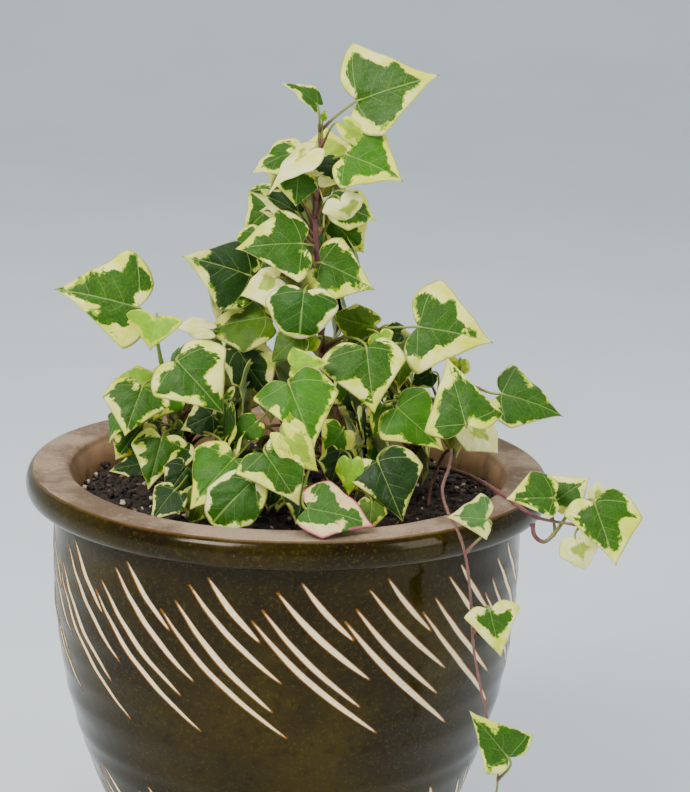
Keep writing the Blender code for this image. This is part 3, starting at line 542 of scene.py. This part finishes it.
def clay_colour(kit, place):
    """Bare clay: mottled on the rim, warmer inside."""
    clay = kit.blend((160, 137, 114), (112, 92, 76), kit.noise(place, 26, 6, 0.6), 0.38, 0.62)
    clay = kit.blend(clay, (172, 152, 124), kit.noise(place, 260, 3), 0.55, 0.7, 0, 0.5)
    clay = kit.blend(clay, (104, 76, 52), kit.cells(place, 210), 0.06, 0.12, 0.5, 0)
    clay = kit.blend(clay, (100, 82, 64), kit.noise(place, 13, 5, 0.6), 0.5, 0.66, 0, 0.55)
    clay = kit.blend(clay, (92, 74, 58), kit.noise(place, 900, 2), 0.5, 0.7, 0, 0.5)
    warm = kit.blend((196, 150, 110), (148, 112, 84), kit.noise(place, 30, 4), 0.35, 0.65)
    warm = kit.blend(warm, (112, 86, 66), kit.noise(place, 75, 4, 0.6), 0.52, 0.68, 0, 0.55)
    return kit.mix(kit.attribute("inside"), clay, warm)


def pot_material():
    """Glaze outside, cut through to pale clay, and bare clay on the rim and inside."""
    kit = Nodes("glazed_pot")
    place = kit.place()
    fine = kit.noise(place, 420, 4, 0.7)
    border = kit.plus(kit.attribute("bare"), kit.times(kit.swing(place, 60, 3), 2.2))
    is_bare = kit.step(border, -0.25, 0.25)
    colour = glaze_colour(kit, place, fine)
    colour = kit.mix(kit.times(kit.step(border, -2.4, -0.2), 0.6), colour, (112, 84, 44))
    cut = kit.plus(kit.attribute("cut"), kit.times(kit.swing(place, 900, 3), 0.5))
    colour = kit.mix(kit.times(kit.step(cut, 0.15, 0.9, 1, 0), 0.85), colour, (150, 92, 26))
    is_cut = kit.step(cut, -0.12, 0.15, 1, 0)
    colour = kit.mix(is_cut, colour, kit.blend((250, 234, 196), (238, 214, 168), fine, 0.35, 0.7))
    colour = kit.mix(is_bare, colour, clay_colour(kit, place))
    dull = kit.math("MAXIMUM", is_bare, kit.times(is_cut, 0.85))
    gloss = kit.step(kit.noise(place, 35, 3), 0.3, 0.7, 0.10, 0.20)
    kit.shader.inputs["Specular IOR Level"].default_value = 0.2
    kit.shader.inputs["Specular Tint"].default_value = (1.0, 0.9, 0.72, 1)
    dimple = kit.plus(kit.times(kit.noise(place, 120, 2), 0.5), kit.noise(place, 42, 1))
    grain = kit.times(kit.noise(place, 1400, 3), kit.times(dull, 0.35))
    return kit.surface(colour, kit.plus(gloss, kit.times(dull, 0.6)), kit.plus(dimple, grain), 0.0005, 0.35)


def soil_material():
    """Damp peat: near black with brown fibres."""
    kit = Nodes("potting_soil")
    place = kit.place()
    colour = kit.blend((30, 24, 20), (66, 52, 42), kit.noise(place, 260, 5, 0.7), 0.35, 0.68)
    colour = kit.blend(colour, (104, 76, 58), kit.cells(place, 420), 0.1, 0.2, 0.5, 0)
    roughness = kit.step(kit.noise(place, 300, 2), 0.3, 0.7, 0.8, 1)
    return kit.surface(colour, roughness, kit.noise(place, 700, 5, 0.7), 0.0012, 0.9)


def grain_material(name, first, second, roughness):
    """One kind of soil grain, mottled between two colours."""
    kit = Nodes(name)
    place = kit.place()
    colour = kit.blend(first, second, kit.noise(place, 240, 3), 0.35, 0.65)
    sheen = kit.step(kit.noise(place, 900, 2), 0.3, 0.7, roughness - 0.1, roughness)
    return kit.surface(colour, sheen, kit.noise(place, 1600, 3), 0.0006, 0.8)


# Mesh helpers

def add_piece(name, mesh, materials):
    """Links a mesh as a piece that rides on the plant's one body."""
    piece = bpy.data.objects.new(name, mesh)
    bpy.context.scene.collection.objects.link(piece)
    for item in materials:
        mesh.materials.append(item)
    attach(piece, "root")
    return piece


def grid_faces(rows, columns):
    """Quads between rows of points that run round a ring, as corner numbers."""
    row = np.arange(rows - 1)[:, None] * columns
    column = np.arange(columns)[None, :]
    after = (column + 1) % columns
    quads = np.stack([row + column, row + after, row + columns + after, row + columns + column], axis=-1)
    return quads.reshape(-1, 4)


def fan(centre, first, count, flip=False):
    """Triangles from a centre point to a ring of points, as corner numbers."""
    pairs = [(first + i, first + (i + 1) % count) for i in range(count)]
    return [(centre, b, a) if flip else (centre, a, b) for a, b in pairs]


def caps(rows, columns, flip=False):
    """Triangles that close the first and the last ring onto the two points that follow all rings."""
    top, bottom = rows * columns, rows * columns + 1
    return fan(top, 0, columns, flip) + fan(bottom, (rows - 1) * columns, columns, not flip)


def make_mesh(name, places, quads, triangles=(), numbers=None, vectors=None):
    """A smooth mesh from arrays of places in mm, with named attributes on its points."""
    mesh = bpy.data.meshes.new(name)
    faces = [tuple(face) for face in np.asarray(quads).tolist()] + [tuple(face) for face in triangles]
    mesh.from_pydata((np.asarray(places) * MM).tolist(), [], faces)
    for key, values in (numbers or {}).items():
        layer = mesh.attributes.new(key, "FLOAT", "POINT")
        layer.data.foreach_set("value", np.asarray(values, dtype=np.float32))
    for key, values in (vectors or {}).items():
        layer = mesh.attributes.new(key, "FLOAT_VECTOR", "POINT")
        layer.data.foreach_set("vector", np.asarray(values, dtype=np.float32).ravel())
    mesh.polygons.foreach_set("use_smooth", np.ones(len(mesh.polygons), dtype=bool))
    mesh.update()
    return mesh


def smooth_route(points, steps):
    """Points along a Catmull-Rom curve through the route's own points."""
    ends = [points[0]] + list(points) + [points[-1]]
    found = []
    for a, b, c, d in zip(ends, ends[1:], ends[2:], ends[3:]):
        a, b, c, d = Vector(a), Vector(b), Vector(c), Vector(d)
        for step in range(steps):
            t = step / steps
            found.append(0.5 * (2 * b + (c - a) * t + (2 * a - 5 * b + 4 * c - d) * t ** 2
                                + (3 * b - a - 3 * c + d) * t ** 3))
    return found + [Vector(points[-1])]


def tube_arrays(route, radii, sides):
    """Rings of points along a route, with closed ends: places, quads, triangles, share of the way."""
    count = len(route)
    normal = None
    places = []
    for index, spot in enumerate(route):
        along = (route[min(index + 1, count - 1)] - route[max(index - 1, 0)]).normalized()
        if normal is None:
            normal = along.orthogonal().normalized()
        normal = (normal - along * normal.dot(along)).normalized()
        across = along.cross(normal)
        for side in range(sides):
            angle = 2 * pi * side / sides
            places.append(spot + (normal * cos(angle) + across * sin(angle)) * radii[index])
    places += [route[0], route[-1]]
    share = [index / (count - 1) for index in range(count) for _ in range(sides)] + [0, 1]
    return places, grid_faces(count, sides), caps(count, sides, flip=True), share


# Leaves

def half_outline(along, out, blunt):
    """One side of a blade from its base notch round the lobe to just before the tip.

    Blunt is 0 on a pointed blade and 1 on a round one.
    """
    rest = 1 - along
    return [
        (-0.10, 0.24 * out), (-0.13, 0.52 * out), (-0.06 + 0.3 * along, 0.84 * out), (along, out),
        (along + 0.30 * rest, (0.68 + 0.18 * blunt) * out),
        (along + 0.62 * rest, (0.34 + 0.30 * blunt) * out),
        (along + 0.86 * rest, (0.09 + 0.31 * blunt) * out),
    ]


def smooth_half(along, out, side, blunt):
    """Even points round one side of a blade, from the notch to the tip, with a corner at the lobe."""
    points = [(0, 0, 0)] + [(u, side * v, 0) for u, v in half_outline(along, out, blunt)] + [(1, 0, 0)]
    inner = smooth_route(points[:5], 12)
    outer = smooth_route(points[4:], 12)
    sharp = np.array([tuple(place)[:2] for place in inner + outer[1:]])
    soft = np.array([tuple(place)[:2] for place in smooth_route(points, 12)])
    curve = soft + (sharp - soft) * LOBE_CORNER * (1 - blunt)
    length = np.concatenate([[0], np.cumsum(np.linalg.norm(np.diff(curve, axis=0), axis=1))])
    even = np.linspace(0, length[-1], EDGE_POINTS + 1)
    return np.stack([np.interp(even, length, curve[:, 0]), np.interp(even, length, curve[:, 1])], axis=1)


def smooth_outline(lobes, blunt=0):
    """The closed edge of a blade: notch, left side, tip, right side."""
    left = smooth_half(lobes[0], lobes[1], 1, blunt)
    right = smooth_half(lobes[2], lobes[3], -1, blunt)
    return np.concatenate([left, right[-2:0:-1]])


def edge_distance(points, edge):
    """Distance in leaf lengths from each point to the blade's edge, leaving out the notch at its base."""
    start, end = edge, np.roll(edge, -1, axis=0)
    outer = (np.abs(start[:, 1]) > 0.15) | (start[:, 0] > 0.1)
    start, end = start[outer], end[outer]
    run = end - start
    offset = points[:, None, :] - start[None]
    share = np.clip((offset * run).sum(-1) / np.maximum((run * run).sum(-1), 1e-12), 0, 1)
    gap = offset - share[..., None] * run[None]
    return np.sqrt((gap ** 2).sum(-1)).min(axis=1)


def leaf_axes(leaf):
    """Rotation whose columns are the leaf's midrib, its left side and its face."""
    heading, lean, roll = radians(leaf.heading), radians(leaf.lean), radians(leaf.roll)
    midrib = Vector((cos(heading) * cos(lean), -sin(lean), sin(heading) * cos(lean)))
    light = Vector((0, -cos(radians(LIGHT_RISE)), sin(radians(LIGHT_RISE))))
    face = (light - midrib * light.dot(midrib)).normalized()
    side = face.cross(midrib)
    left = side * cos(roll) + face * sin(roll)
    face = face * cos(roll) - side * sin(roll)
    return Matrix.Rotation(radians(leaf.turn), 3, "Z") @ Matrix((midrib, left, face)).transposed()


def bend_blade(leaf, u, v, lift):
    """Flat blade points bent round two arcs, and pushed off the face by lift: places in mm."""
    droop, cup = leaf.droop * MORE_BEND, leaf.cup * MORE_BEND
    turn = droop * u
    tilt = cup * v
    across = np.sin(tilt) / cup + lift * np.sin(tilt)
    fall = (np.cos(tilt) - 1) / cup + lift * np.cos(tilt)
    along = np.sin(turn) / droop + fall * np.sin(turn)
    above = (np.cos(turn) - 1) / droop + fall * np.cos(turn)
    return np.stack([along, across, above], axis=1) * leaf.length


def blade_lift(rule, share, chance):
    """How far a blade's points are pushed off its face: a waved edge, a groove and swollen fields."""
    angle = np.arctan2(rule[:, 1], rule[:, 0] - BLADE_CENTRE)
    aside = np.abs(rule[:, 1])
    wave = 0
    for turns in (2, 3, 5, 7):
        height = chance.uniform(0.006, 0.016)
        wave = wave + height * np.sin(turns * angle + chance.uniform(0, 6.3))
    groove = -0.014 * np.exp(-(aside / 0.035) ** 2)
    swell = 0.010 * np.sin(np.clip(aside * 12, 0, pi)) * np.sin(rule[:, 0] * 14 - aside * 12)
    return wave * share ** 3 + (groove + swell) * (1 - share ** 4)


def blade_arrays(leaf, axes, seed):
    """The two faces of a blade: places, quads, the fans at their centres, edge and leaf_place.

    Edge is the distance to the blade's edge. Leaf_place is the spot on a plain blade and the leaf's mark.
    """
    chance = random.Random(seed)
    edge = smooth_outline(leaf.lobes, int(leaf.look == "round"))
    plain = smooth_outline(PLAIN_LOBES)
    count = len(edge)
    centre = np.array([BLADE_CENTRE, 0])
    shares = np.linspace(0, 1, RINGS + 1)[1:] ** 0.85
    flat = np.concatenate([centre + (edge - centre) * share for share in shares])
    rule = np.concatenate([centre + (plain - centre) * share for share in shares])
    share = np.repeat(shares, count)
    lift = blade_lift(rule, share, chance)
    thin = BLADE_THICKNESS / 2 / leaf.length
    half = thin * np.sqrt(np.clip(1 - share ** 8, 0, 1))
    u, v = flat[:, 0], flat[:, 1]
    upper = bend_blade(leaf, u, v, lift + half)
    lower = bend_blade(leaf, u[:-count], v[:-count], (lift - half)[:-count])
    middle = bend_blade(leaf, centre[[0, 0]], centre[[1, 1]], np.array([thin, -thin]) - 0.014)
    places = np.concatenate([upper, lower, middle]) @ np.array(axes).T + np.array(leaf.base)
    rows = grid_faces(RINGS, count)
    below = np.where(rows < (RINGS - 1) * count, rows + RINGS * count, rows)
    fans = [fan(len(places) - 2, 0, count), fan(len(places) - 1, RINGS * count, count, flip=True)]
    gap = edge_distance(flat, edge)
    edge_values = np.concatenate([gap, gap[:-count], [edge_distance(centre[None], edge)[0]] * 2])
    spots = np.concatenate([rule, rule[:-count], [centre, centre]])
    leaf_place = np.column_stack([spots, np.full(len(spots), chance.uniform(0, 40))])
    return places, [rows[:, ::-1], below], fans, edge_values, leaf_place


def petiole_route(leaf, axes):
    """From under the blade, back along it and down into its stem."""
    stem = next(stem for stem in STEMS if stem.name == leaf.stem)
    base = Vector(leaf.base)
    below = base - Vector((0, 0, STALK_DROP))
    route = smooth_route(stem.route, 8)
    spot = min(range(len(route)), key=lambda index: (route[index] - below).length)
    along = (route[min(spot + 1, len(route) - 1)] - route[max(spot - 1, 0)]).normalized()
    outward = base - route[spot]
    outward = (outward - along * outward.dot(along)).normalized()
    thickness = stem.thick + (stem.thin - stem.thick) * spot / (len(route) - 1)
    foot = route[spot] + outward * thickness * 0.4
    upwards = along if along.z > 0 else -along
    reach = (base - foot).length * 0.4
    start = foot + (outward + upwards).normalized() * reach
    bend = base - axes @ Vector((1, 0, 0.5)) * min(reach, 9)
    under_blade = bend_blade(leaf, np.array([0.16]), np.array([0.0]), np.array([-0.03]))[0]
    places = [axes @ Vector(under_blade) + base]
    for step in range(STALK_STEPS + 1):
        t = step / STALK_STEPS
        rest = 1 - t
        places.append(base * rest ** 3 + bend * 3 * rest ** 2 * t + start * 3 * rest * t ** 2 + foot * t ** 3)
    return places


def build_leaf(leaf, seed, materials):
    """One leaf: its blade and its stalk as one piece. The materials are for upper face, lower face, stalk."""
    axes = leaf_axes(leaf)
    places, (over, under), fans, edge, leaf_place = blade_arrays(leaf, axes, seed)
    size = 0.75 + 0.25 * min(leaf.length / 40, 1)
    swell = [(step / STALK_STEPS) ** 4 for step in range(STALK_STEPS + 1)]
    radii = [0.35 * size] + [size * (0.8 + 0.45 * grown) for grown in swell]
    route = petiole_route(leaf, axes)
    tube_places, tube_quads, tube_triangles, share = tube_arrays(route, radii, STALK_SIDES)
    shift = len(places)
    ends = [tuple(number + shift for number in face) for face in tube_triangles]
    mesh = make_mesh(
        leaf.name,
        np.concatenate([places, np.array([tuple(place) for place in tube_places])]),
        np.concatenate([over, under, tube_quads + shift]), fans[0] + fans[1] + ends,
        {"edge": np.concatenate([edge, np.zeros(len(tube_places))]),
         "age": np.concatenate([np.zeros(shift), share])},
        {"leaf_place": np.concatenate([leaf_place, np.zeros((len(tube_places), 3))])})
    groups = (over, under, tube_quads, fans[0], fans[1], ends)
    slots = np.repeat(np.array([0, 1, 2] * 2, dtype=np.int32), [len(group) for group in groups])
    mesh.polygons.foreach_set("material_index", slots)
    return add_piece("visual_" + leaf.name, mesh, materials)


def leaves_of(rows_by_stem):
    return [Leaf(row[0], stem, *row[1:]) for stem, rows in rows_by_stem.items() for row in rows]


def fill_leaves():
    """More leaves that no CAD node stands for: some near the soil, some facing the plant's two sides."""
    chance = random.Random(12)
    found = []

    def add(stem, base, length, lean, turn):
        lobes = tuple(chance.uniform(*limits) for limits in ((0.15, 0.4), (0.5, 0.62)) * 2)
        look = chance.choice(("edged", "edged", "green", "dark", "dark", "olive"))
        heading, roll = -90 + chance.uniform(-50, 50), chance.uniform(-18, 18)
        name = "fill_leaf_%d" % (len(found) + 1)
        found.append(Leaf(name, stem, base, length, heading, lean, roll, lobes, 0.45, 0.35, look, turn))

    for _ in range(GROUND_LEAVES):
        x, y = chance.uniform(-72, 56), chance.uniform(-84, 84)
        middle_stem = "front_stem" if y < -14 else "left_stem"
        stem = "left_shoot" if x < -36 else "right_stem" if x > 44 else middle_stem
        outward = degrees(atan2(x, -y)) + chance.uniform(-25, 25)
        add(stem, (x, y, chance.uniform(289, 304)), chance.uniform(22, 33), chance.uniform(40, 62), outward)
    for height, left, right, count, front, back in SIDE_ROWS:
        for side, reach in ((-90, -left), (90, right)):
            for _ in range(count):
                y = chance.uniform(front, back)
                low = "left_shoot" if side < 0 else "right_stem"
                stem = low if height < 345 else "left_stem" if side < 0 and height < 400 else "main_stem"
                add(stem, (reach * chance.uniform(0.75, 1), y, height + chance.uniform(-10, 10)),
                    chance.uniform(28, 40), chance.uniform(12, 34), side + chance.uniform(-28, 28))
    return found


def build_leaves():
    under, stalk = underside_material(), stalk_material()
    upper = {look: leaf_material(look) for look in LOOKS}
    leaves = leaves_of(LEAF_ROWS)
    for seed, leaf in enumerate(leaves + leaves_of(SMALL_LEAF_ROWS) + fill_leaves()):
        piece = build_leaf(leaf, seed, (upper[leaf.look], under, stalk))
        if leaf in leaves:
            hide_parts(leaf.name)


# Stems

def build_stems():
    """Each stem with swollen joints, its foot a little way into the soil."""
    purple = stem_material("stem_purple", (112, 60, 66), (78, 60, 38))
    thin = stem_material("stem_trailing", (118, 76, 68), (96, 60, 56))
    looks = {"trailing_stem": thin, "left_shoot": stem_material("stem_young", (112, 142, 50), (92, 82, 46)),
             "runner_side_stem": stem_material("stem_green", (122, 142, 48), (100, 50, 54))}
    for number, stem in enumerate(STEMS):
        chance = random.Random(number)
        points = list(stem.route)
        if points[0][2] < SOIL_TOP + 1:
            points[0] = (points[0][0], points[0][1], SOIL_TOP - 4)
        route = smooth_route(points, ROUTE_STEPS)
        spacing = chance.uniform(20, 24)
        slim = 0.7 if stem.name == "trailing_stem" else 0.9
        travelled = 0
        radii = []
        for index, spot in enumerate(route):
            travelled += (spot - route[max(index - 1, 0)]).length
            share = index / (len(route) - 1)
            joint = max(0, cos(2 * pi * travelled / spacing)) ** 12
            plain = stem.thick + (stem.thin - stem.thick) * share
            radii.append(plain * slim * (0.92 + 0.28 * joint))
        radii[-1] *= 0.5
        places, quads, triangles, share = tube_arrays(route, radii, STEM_SIDES)
        mesh = make_mesh(stem.name, [tuple(place) for place in places], quads, triangles, {"age": share})
        piece = add_piece("visual_" + stem.name, mesh, [looks.get(stem.name, purple)])
        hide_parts(stem.name)


# Soil

def soil_height(x, y):
    """Gentle lumps of the soil's surface, in mm."""
    return (1.6 * np.sin(x / 17 + 1.3) * np.cos(y / 21) + 1.2 * np.sin(x / 7.3 + y / 9.1)
            + 0.8 * np.sin(x / 3.7 - y / 4.3 + 2) + 0.5 * np.cos(x / 2.1 + y / 2.7))


def build_soil():
    """A lumpy disc of soil down to the pot's floor."""
    columns = 260
    radii = np.linspace(1.3, 131.4, 100)
    angle = np.linspace(0, 2 * pi, columns, endpoint=False)
    x, y = np.outer(radii, np.cos(angle)), np.outer(radii, np.sin(angle))
    z = SOIL_TOP + soil_height(x, y) - 3 * np.clip((radii[:, None] - 122) / 10, 0, 1)
    rings = [np.stack([x, y, z], axis=-1).reshape(-1, 3)]
    for radius, height in INNER_WALL[2:] + [(2, 14)]:
        inset = radius - 0.6
        ring = [inset * np.cos(angle), inset * np.sin(angle), np.full(columns, height + 0.5)]
        rings.append(np.stack(ring, axis=1))
    places = np.concatenate(rings + [[(0, 0, SOIL_TOP), (0, 0, 14.5)]])
    rows = len(radii) + len(rings) - 1
    mesh = make_mesh("soil", places, grid_faces(rows, columns)[:, ::-1], caps(rows, columns))
    piece = add_piece("visual_soil", mesh, [soil_material()])
    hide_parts("potting_soil")


def grain_shape(chance, size, flat):
    """A small uneven ball: a low sphere with its points pushed in and out."""
    rows, columns = 4, 7
    stretch = [chance.uniform(0.7, 1.3), chance.uniform(0.6, 1.1), flat]
    heading, lean = chance.uniform(0, 6.3), chance.uniform(-0.6, 0.6)
    turn = Matrix.Rotation(heading, 3, "Z") @ Matrix.Rotation(lean, 3, "X")
    places = []
    for row in range(rows):
        lift = pi * (row + 1) / (rows + 1)
        for column in range(columns):
            round_angle = 2 * pi * column / columns
            push = size * chance.uniform(0.55, 1.3)
            places.append(turn @ Vector((sin(lift) * cos(round_angle) * push * stretch[0],
                                         sin(lift) * sin(round_angle) * push * stretch[1],
                                         cos(lift) * push * stretch[2])))
    places += [turn @ Vector((0, 0, size * stretch[2])), turn @ Vector((0, 0, -size * stretch[2]))]
    return places, grid_faces(rows, columns)[:, ::-1], caps(rows, columns)


def scatter_grains(name, count, sizes, flat, material, seed):
    """Grains of one kind strewn over the soil, half sunk into it."""
    chance = random.Random(seed)
    places, quads, triangles = [], [], []
    for _ in range(count):
        distance = 129 * chance.random() ** 0.5
        angle = chance.uniform(0, 2 * pi)
        x, y = distance * cos(angle), distance * sin(angle)
        size = chance.uniform(*sizes) * (1 + chance.random() ** 4)
        shape, faces, ends = grain_shape(chance, size, flat)
        shift = len(places)
        level = SOIL_TOP + float(soil_height(x, y)) + size * flat * 0.35
        places += [tuple(place + Vector((x, y, level))) for place in shape]
        quads.append(faces + shift)
        triangles += [tuple(number + shift for number in face) for face in ends]
    mesh = make_mesh(name, places, np.concatenate(quads), triangles)
    add_piece(name, mesh, [material])


def build_grains():
    perlite = grain_material("perlite", (214, 200, 176), (170, 150, 122), 0.9)
    scatter_grains("perlite", 210, (0.6, 1.8), 0.8, perlite, 5)
    bark = grain_material("bark", (122, 98, 74), (62, 47, 37), 0.85)
    scatter_grains("bark_chips", 330, (0.8, 2.5), 0.4, bark, 6)
    peat = grain_material("peat", (32, 26, 22), (60, 48, 39), 0.95)
    scatter_grains("peat_crumbs", 2100, (0.6, 1.9), 0.8, peat, 7)


# Pot

def wall_radius(height):
    """Radius of the outer wall at a height."""
    heights = [z for _, z in reversed(BODY_WALL)]
    radii = [radius for radius, _ in reversed(BODY_WALL)]
    return np.interp(height, heights, radii)


def cut_distance(angle, height):
    """Signed distance in mm to the nearest slanting cut, negative inside one."""
    nearest = np.full(angle.shape, 9.0)
    chance = random.Random(4)
    for row in range(2):
        for group in range(CUT_GROUPS):
            for (turn_a, z_a), (turn_b, z_b) in CUTS:
                wander = chance.uniform(-0.8, 0.8)
                start = CUT_START + 360 / CUT_GROUPS * group + wander
                length = 1 - row * (1 - LOWER_ROW_LENGTH)
                top = z_a - row * LOWER_ROW_DROP
                drop = (z_a - z_b) * length * chance.uniform(0.95, 1.05)
                share = np.clip((top - height) / drop, 0, 1)
                bow = CUT_BOW * ((z_a - z_b) / (CUTS[0][0][1] - CUTS[0][1][1])) ** 1.5
                middle = start + turn_a + (turn_b - turn_a) * length * share - bow * np.sin(pi * share)
                slope = radians((turn_b - turn_a) * length) * wall_radius(top - drop / 2) / drop
                around = (angle - middle + 180) % 360 - 180
                across = np.abs(np.radians(around) * wall_radius(height)) / np.sqrt(1 + slope ** 2)
                swell = np.clip(np.sin(pi * share ** 1.25), 0, 1) ** 0.6
                width = CUT_WIDTH / 2 * swell * chance.uniform(0.85, 1.1)
                beyond = np.maximum(top - drop - height, height - top)
                distance = np.where(beyond > 0, np.hypot(across, np.maximum(beyond, 0)), across - width)
                nearest = np.minimum(nearest, distance)
    return nearest


def pot_profile():
    """The pot's section from the floor inside, up, over the rim and down outside, with its marks.

    Each point is (radius, height, bare, inside): bare is how far into unglazed clay it lies, in mm.
    """
    profile = [(1, 14, 9, 1)]
    inner = list(reversed(INNER_WALL[1:]))
    for (r_a, z_a), (r_b, z_b) in zip(inner, inner[1:]):
        for step in range(6):
            t = step / 6
            profile.append((r_a + (r_b - r_a) * t, z_a + (z_b - z_a) * t, 9, 1))
    for step in range(9):
        t = step / 8
        profile.append((132 + 4 * t ** 2, 266 + 17 * t - 1.5 * t ** 3, 9, 1 - 0.3 * t))
    for step in range(1, 5):
        a = pi / 2 * step / 4
        corner = (MOUTH_RADIUS + 4 * (1 - cos(a)), POT_HEIGHT - 3.5 * (1 - sin(a)))
        profile.append((*corner, 9, 0.6 - 0.6 * step / 4))
    for radius in range(142, 158, 2):
        profile.append((radius, POT_HEIGHT, 160 - radius, 0))
    half, bulge = RIM_DEPTH / 2, 6
    steps = 26
    for step in range(steps + 1):
        angle = pi / 2 - pi * step / steps
        travelled = pi / 2 - angle
        profile.append((RIM_RADIUS - bulge + bulge * cos(angle), POT_HEIGHT - half + half * sin(angle),
                        1.5 - 6 * travelled, 0))
    for step in range(1, 7):
        t = step / 6
        profile.append((158 - 11 * sin(pi / 2 * t), 266 - 3 * t - 1 * (1 - cos(pi / 2 * t)), -20, 0))
    return profile


def build_pot():
    """The pot turned finely enough to carry its carved cuts and its throwing rings."""
    columns = 920
    profile = pot_profile()
    body = [(float(wall_radius(height)), height, -20, 0) for height in np.arange(261.5, 3, -1.15)]
    foot = [(87.5, 1.2, -20, 0), (85, 0, 9, 0), (60, 0, 9, 0), (30, 0, 9, 0), (1, 0, 9, 0)]
    section = np.array(profile + body + foot, dtype=float)
    rows = len(section)
    first = len(profile)
    angle = np.linspace(0, 360, columns, endpoint=False)
    radius = np.repeat(section[:, 0][:, None], columns, axis=1)
    height = np.repeat(section[:, 1][:, None], columns, axis=1)
    turn = np.repeat(angle[None, :], rows, axis=0)
    cut = np.full((rows, columns), 9.0)
    span = slice(first, first + len(body))
    cut[span] = cut_distance(turn[span], height[span])
    carved = CUT_DEPTH * np.clip((0.6 - cut) / 1.6, 0, 1) ** 1.2
    lip = 0.22 * np.exp(-((cut - 0.9) / 0.5) ** 2)
    rings = 0.18 * np.sin(height / 3.1 + 0.8 * np.sin(height / 9)) + 0.25 * np.sin(np.radians(turn) * 2 + 1)
    outside = np.zeros((rows, 1))
    outside[span] = 1
    radius = radius - (carved - lip - rings * np.clip((262 - height) / 8, 0, 1)) * outside
    uneven = 0.5 * np.sin(np.radians(turn) * 3) + 0.35 * np.sin(np.radians(turn) * 7 + 2)
    on_rim = np.clip((height - 264) / 8, 0, 1)
    height = height + uneven * 0.6 * on_rim * (section[:, 3][:, None] < 0.5) - 0.5 * on_rim
    around = np.radians(turn)
    places = np.stack([radius * np.sin(around), -radius * np.cos(around), height], axis=-1).reshape(-1, 3)
    places = np.concatenate([places, [(0, 0, 14), (0, 0, 0)]])
    ends = [0, 0]
    numbers = {
        "cut": np.concatenate([cut.ravel(), [9, 9]]),
        "bare": np.concatenate([np.repeat(section[:, 2], columns), [9, 9]]),
        "inside": np.concatenate([np.repeat(section[:, 3], columns), ends]),
        "low": np.concatenate([np.clip((170 - height.ravel()) / 80, 0, 1), ends]),
    }
    mesh = make_mesh("pot", places, grid_faces(rows, columns), caps(rows, columns, flip=True), numbers)
    piece = add_piece("visual_pot", mesh, [pot_material()])
    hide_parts("pot")


# Stage, lights and camera

def stage_material():
    kit = Nodes("pale_floor")
    place = kit.place()
    colour = kit.blend((0.76, 0.81, 0.83, 1), (0.80, 0.85, 0.87, 1), kit.noise(place, 3, 3), 0.3, 0.7)
    kit.put(kit.shader.inputs["Base Color"], colour)
    kit.shader.inputs["Roughness"].default_value = 0.7
    return kit.material


def build_stage():
    """A pale floor that curves up far behind on all sides."""
    columns = 96
    section = [(0.5, 0), (1.5, 0), (3.0, 0), (3.6, 0.08), (4.1, 0.35), (4.5, 0.9), (4.7, 1.8), (4.8, 4.0)]
    angle = np.linspace(0, 2 * pi, columns, endpoint=False)
    rings = [np.stack([r * np.cos(angle), r * np.sin(angle), np.full(columns, z)], axis=1)
             for r, z in section]
    places = np.concatenate(rings + [[(0, 0, 0)]]) / MM
    quads = grid_faces(len(section), columns)[:, ::-1]
    mesh = make_mesh("floor", places, quads, fan(len(places) - 1, 0, columns))
    mesh.materials.append(stage_material())
    floor = bpy.data.objects.new("floor", mesh)
    bpy.context.scene.collection.objects.link(floor)


def add_light(name, place, target, size, power, colour=(1, 1, 1)):
    lamp = bpy.data.lights.new(name, "AREA")
    lamp.shape = "RECTANGLE"
    lamp.size, lamp.size_y = size
    lamp.energy = power
    lamp.color = colour
    item = bpy.data.objects.new(name, lamp)
    item.location = place
    item.rotation_euler = (Vector(target) - Vector(place)).to_track_quat("-Z", "Y").to_euler()
    bpy.context.scene.collection.objects.link(item)


def build_lights():
    world = bpy.data.worlds.new("studio")
    world.use_nodes = True
    world.node_tree.nodes["Background"].inputs["Color"].default_value = (0.80, 0.88, 0.95, 1)
    world.node_tree.nodes["Background"].inputs["Strength"].default_value = 0.6
    bpy.context.scene.world = world
    add_light("key", (-1.3, -1.7, 2.1), (0, 0, 0.35), (1.0, 1.0), 84, (1, 0.98, 0.94))
    add_light("fill", (1.9, -1.2, 1.0), (0, 0, 0.3), (0.8, 1.4), 18)
    add_light("top", (0.2, 0.4, 2.4), (0, 0, 0.3), (1.6, 1.6), 28)


def build_camera():
    """A long lens, level with the leaves and looking down a little, turned slightly off the pot."""
    rise, distance = radians(15.7), 1.7
    rim = Vector((0, 0, POT_HEIGHT * MM))
    place = rim + Vector((0, -cos(rise), sin(rise))) * distance
    lens = bpy.data.cameras.new("camera")
    lens.lens = 122.9
    lens.sensor_width = 36
    camera = bpy.data.objects.new("camera", lens)
    look = (rim - place).to_track_quat("-Z", "Y").to_matrix()
    aim = Matrix.Rotation(radians(-1.197), 3, "Y") @ Matrix.Rotation(radians(1.451), 3, "X")
    roll = Matrix.Rotation(radians(1.3), 3, "Z")
    camera.matrix_world = Matrix.Translation(place) @ (look @ roll @ aim).to_4x4()
    bpy.context.scene.collection.objects.link(camera)
    bpy.context.scene.camera = camera


def plain(box):
    return [[float(number) for number in corner] for corner in box]


def main():
    for item in list(bpy.data.objects):
        bpy.data.objects.remove(item, do_unlink=True)
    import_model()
    build_camera()
    build_stage()
    build_lights()
    build_pot()
    build_soil()
    build_grains()
    build_stems()
    build_leaves()


main()
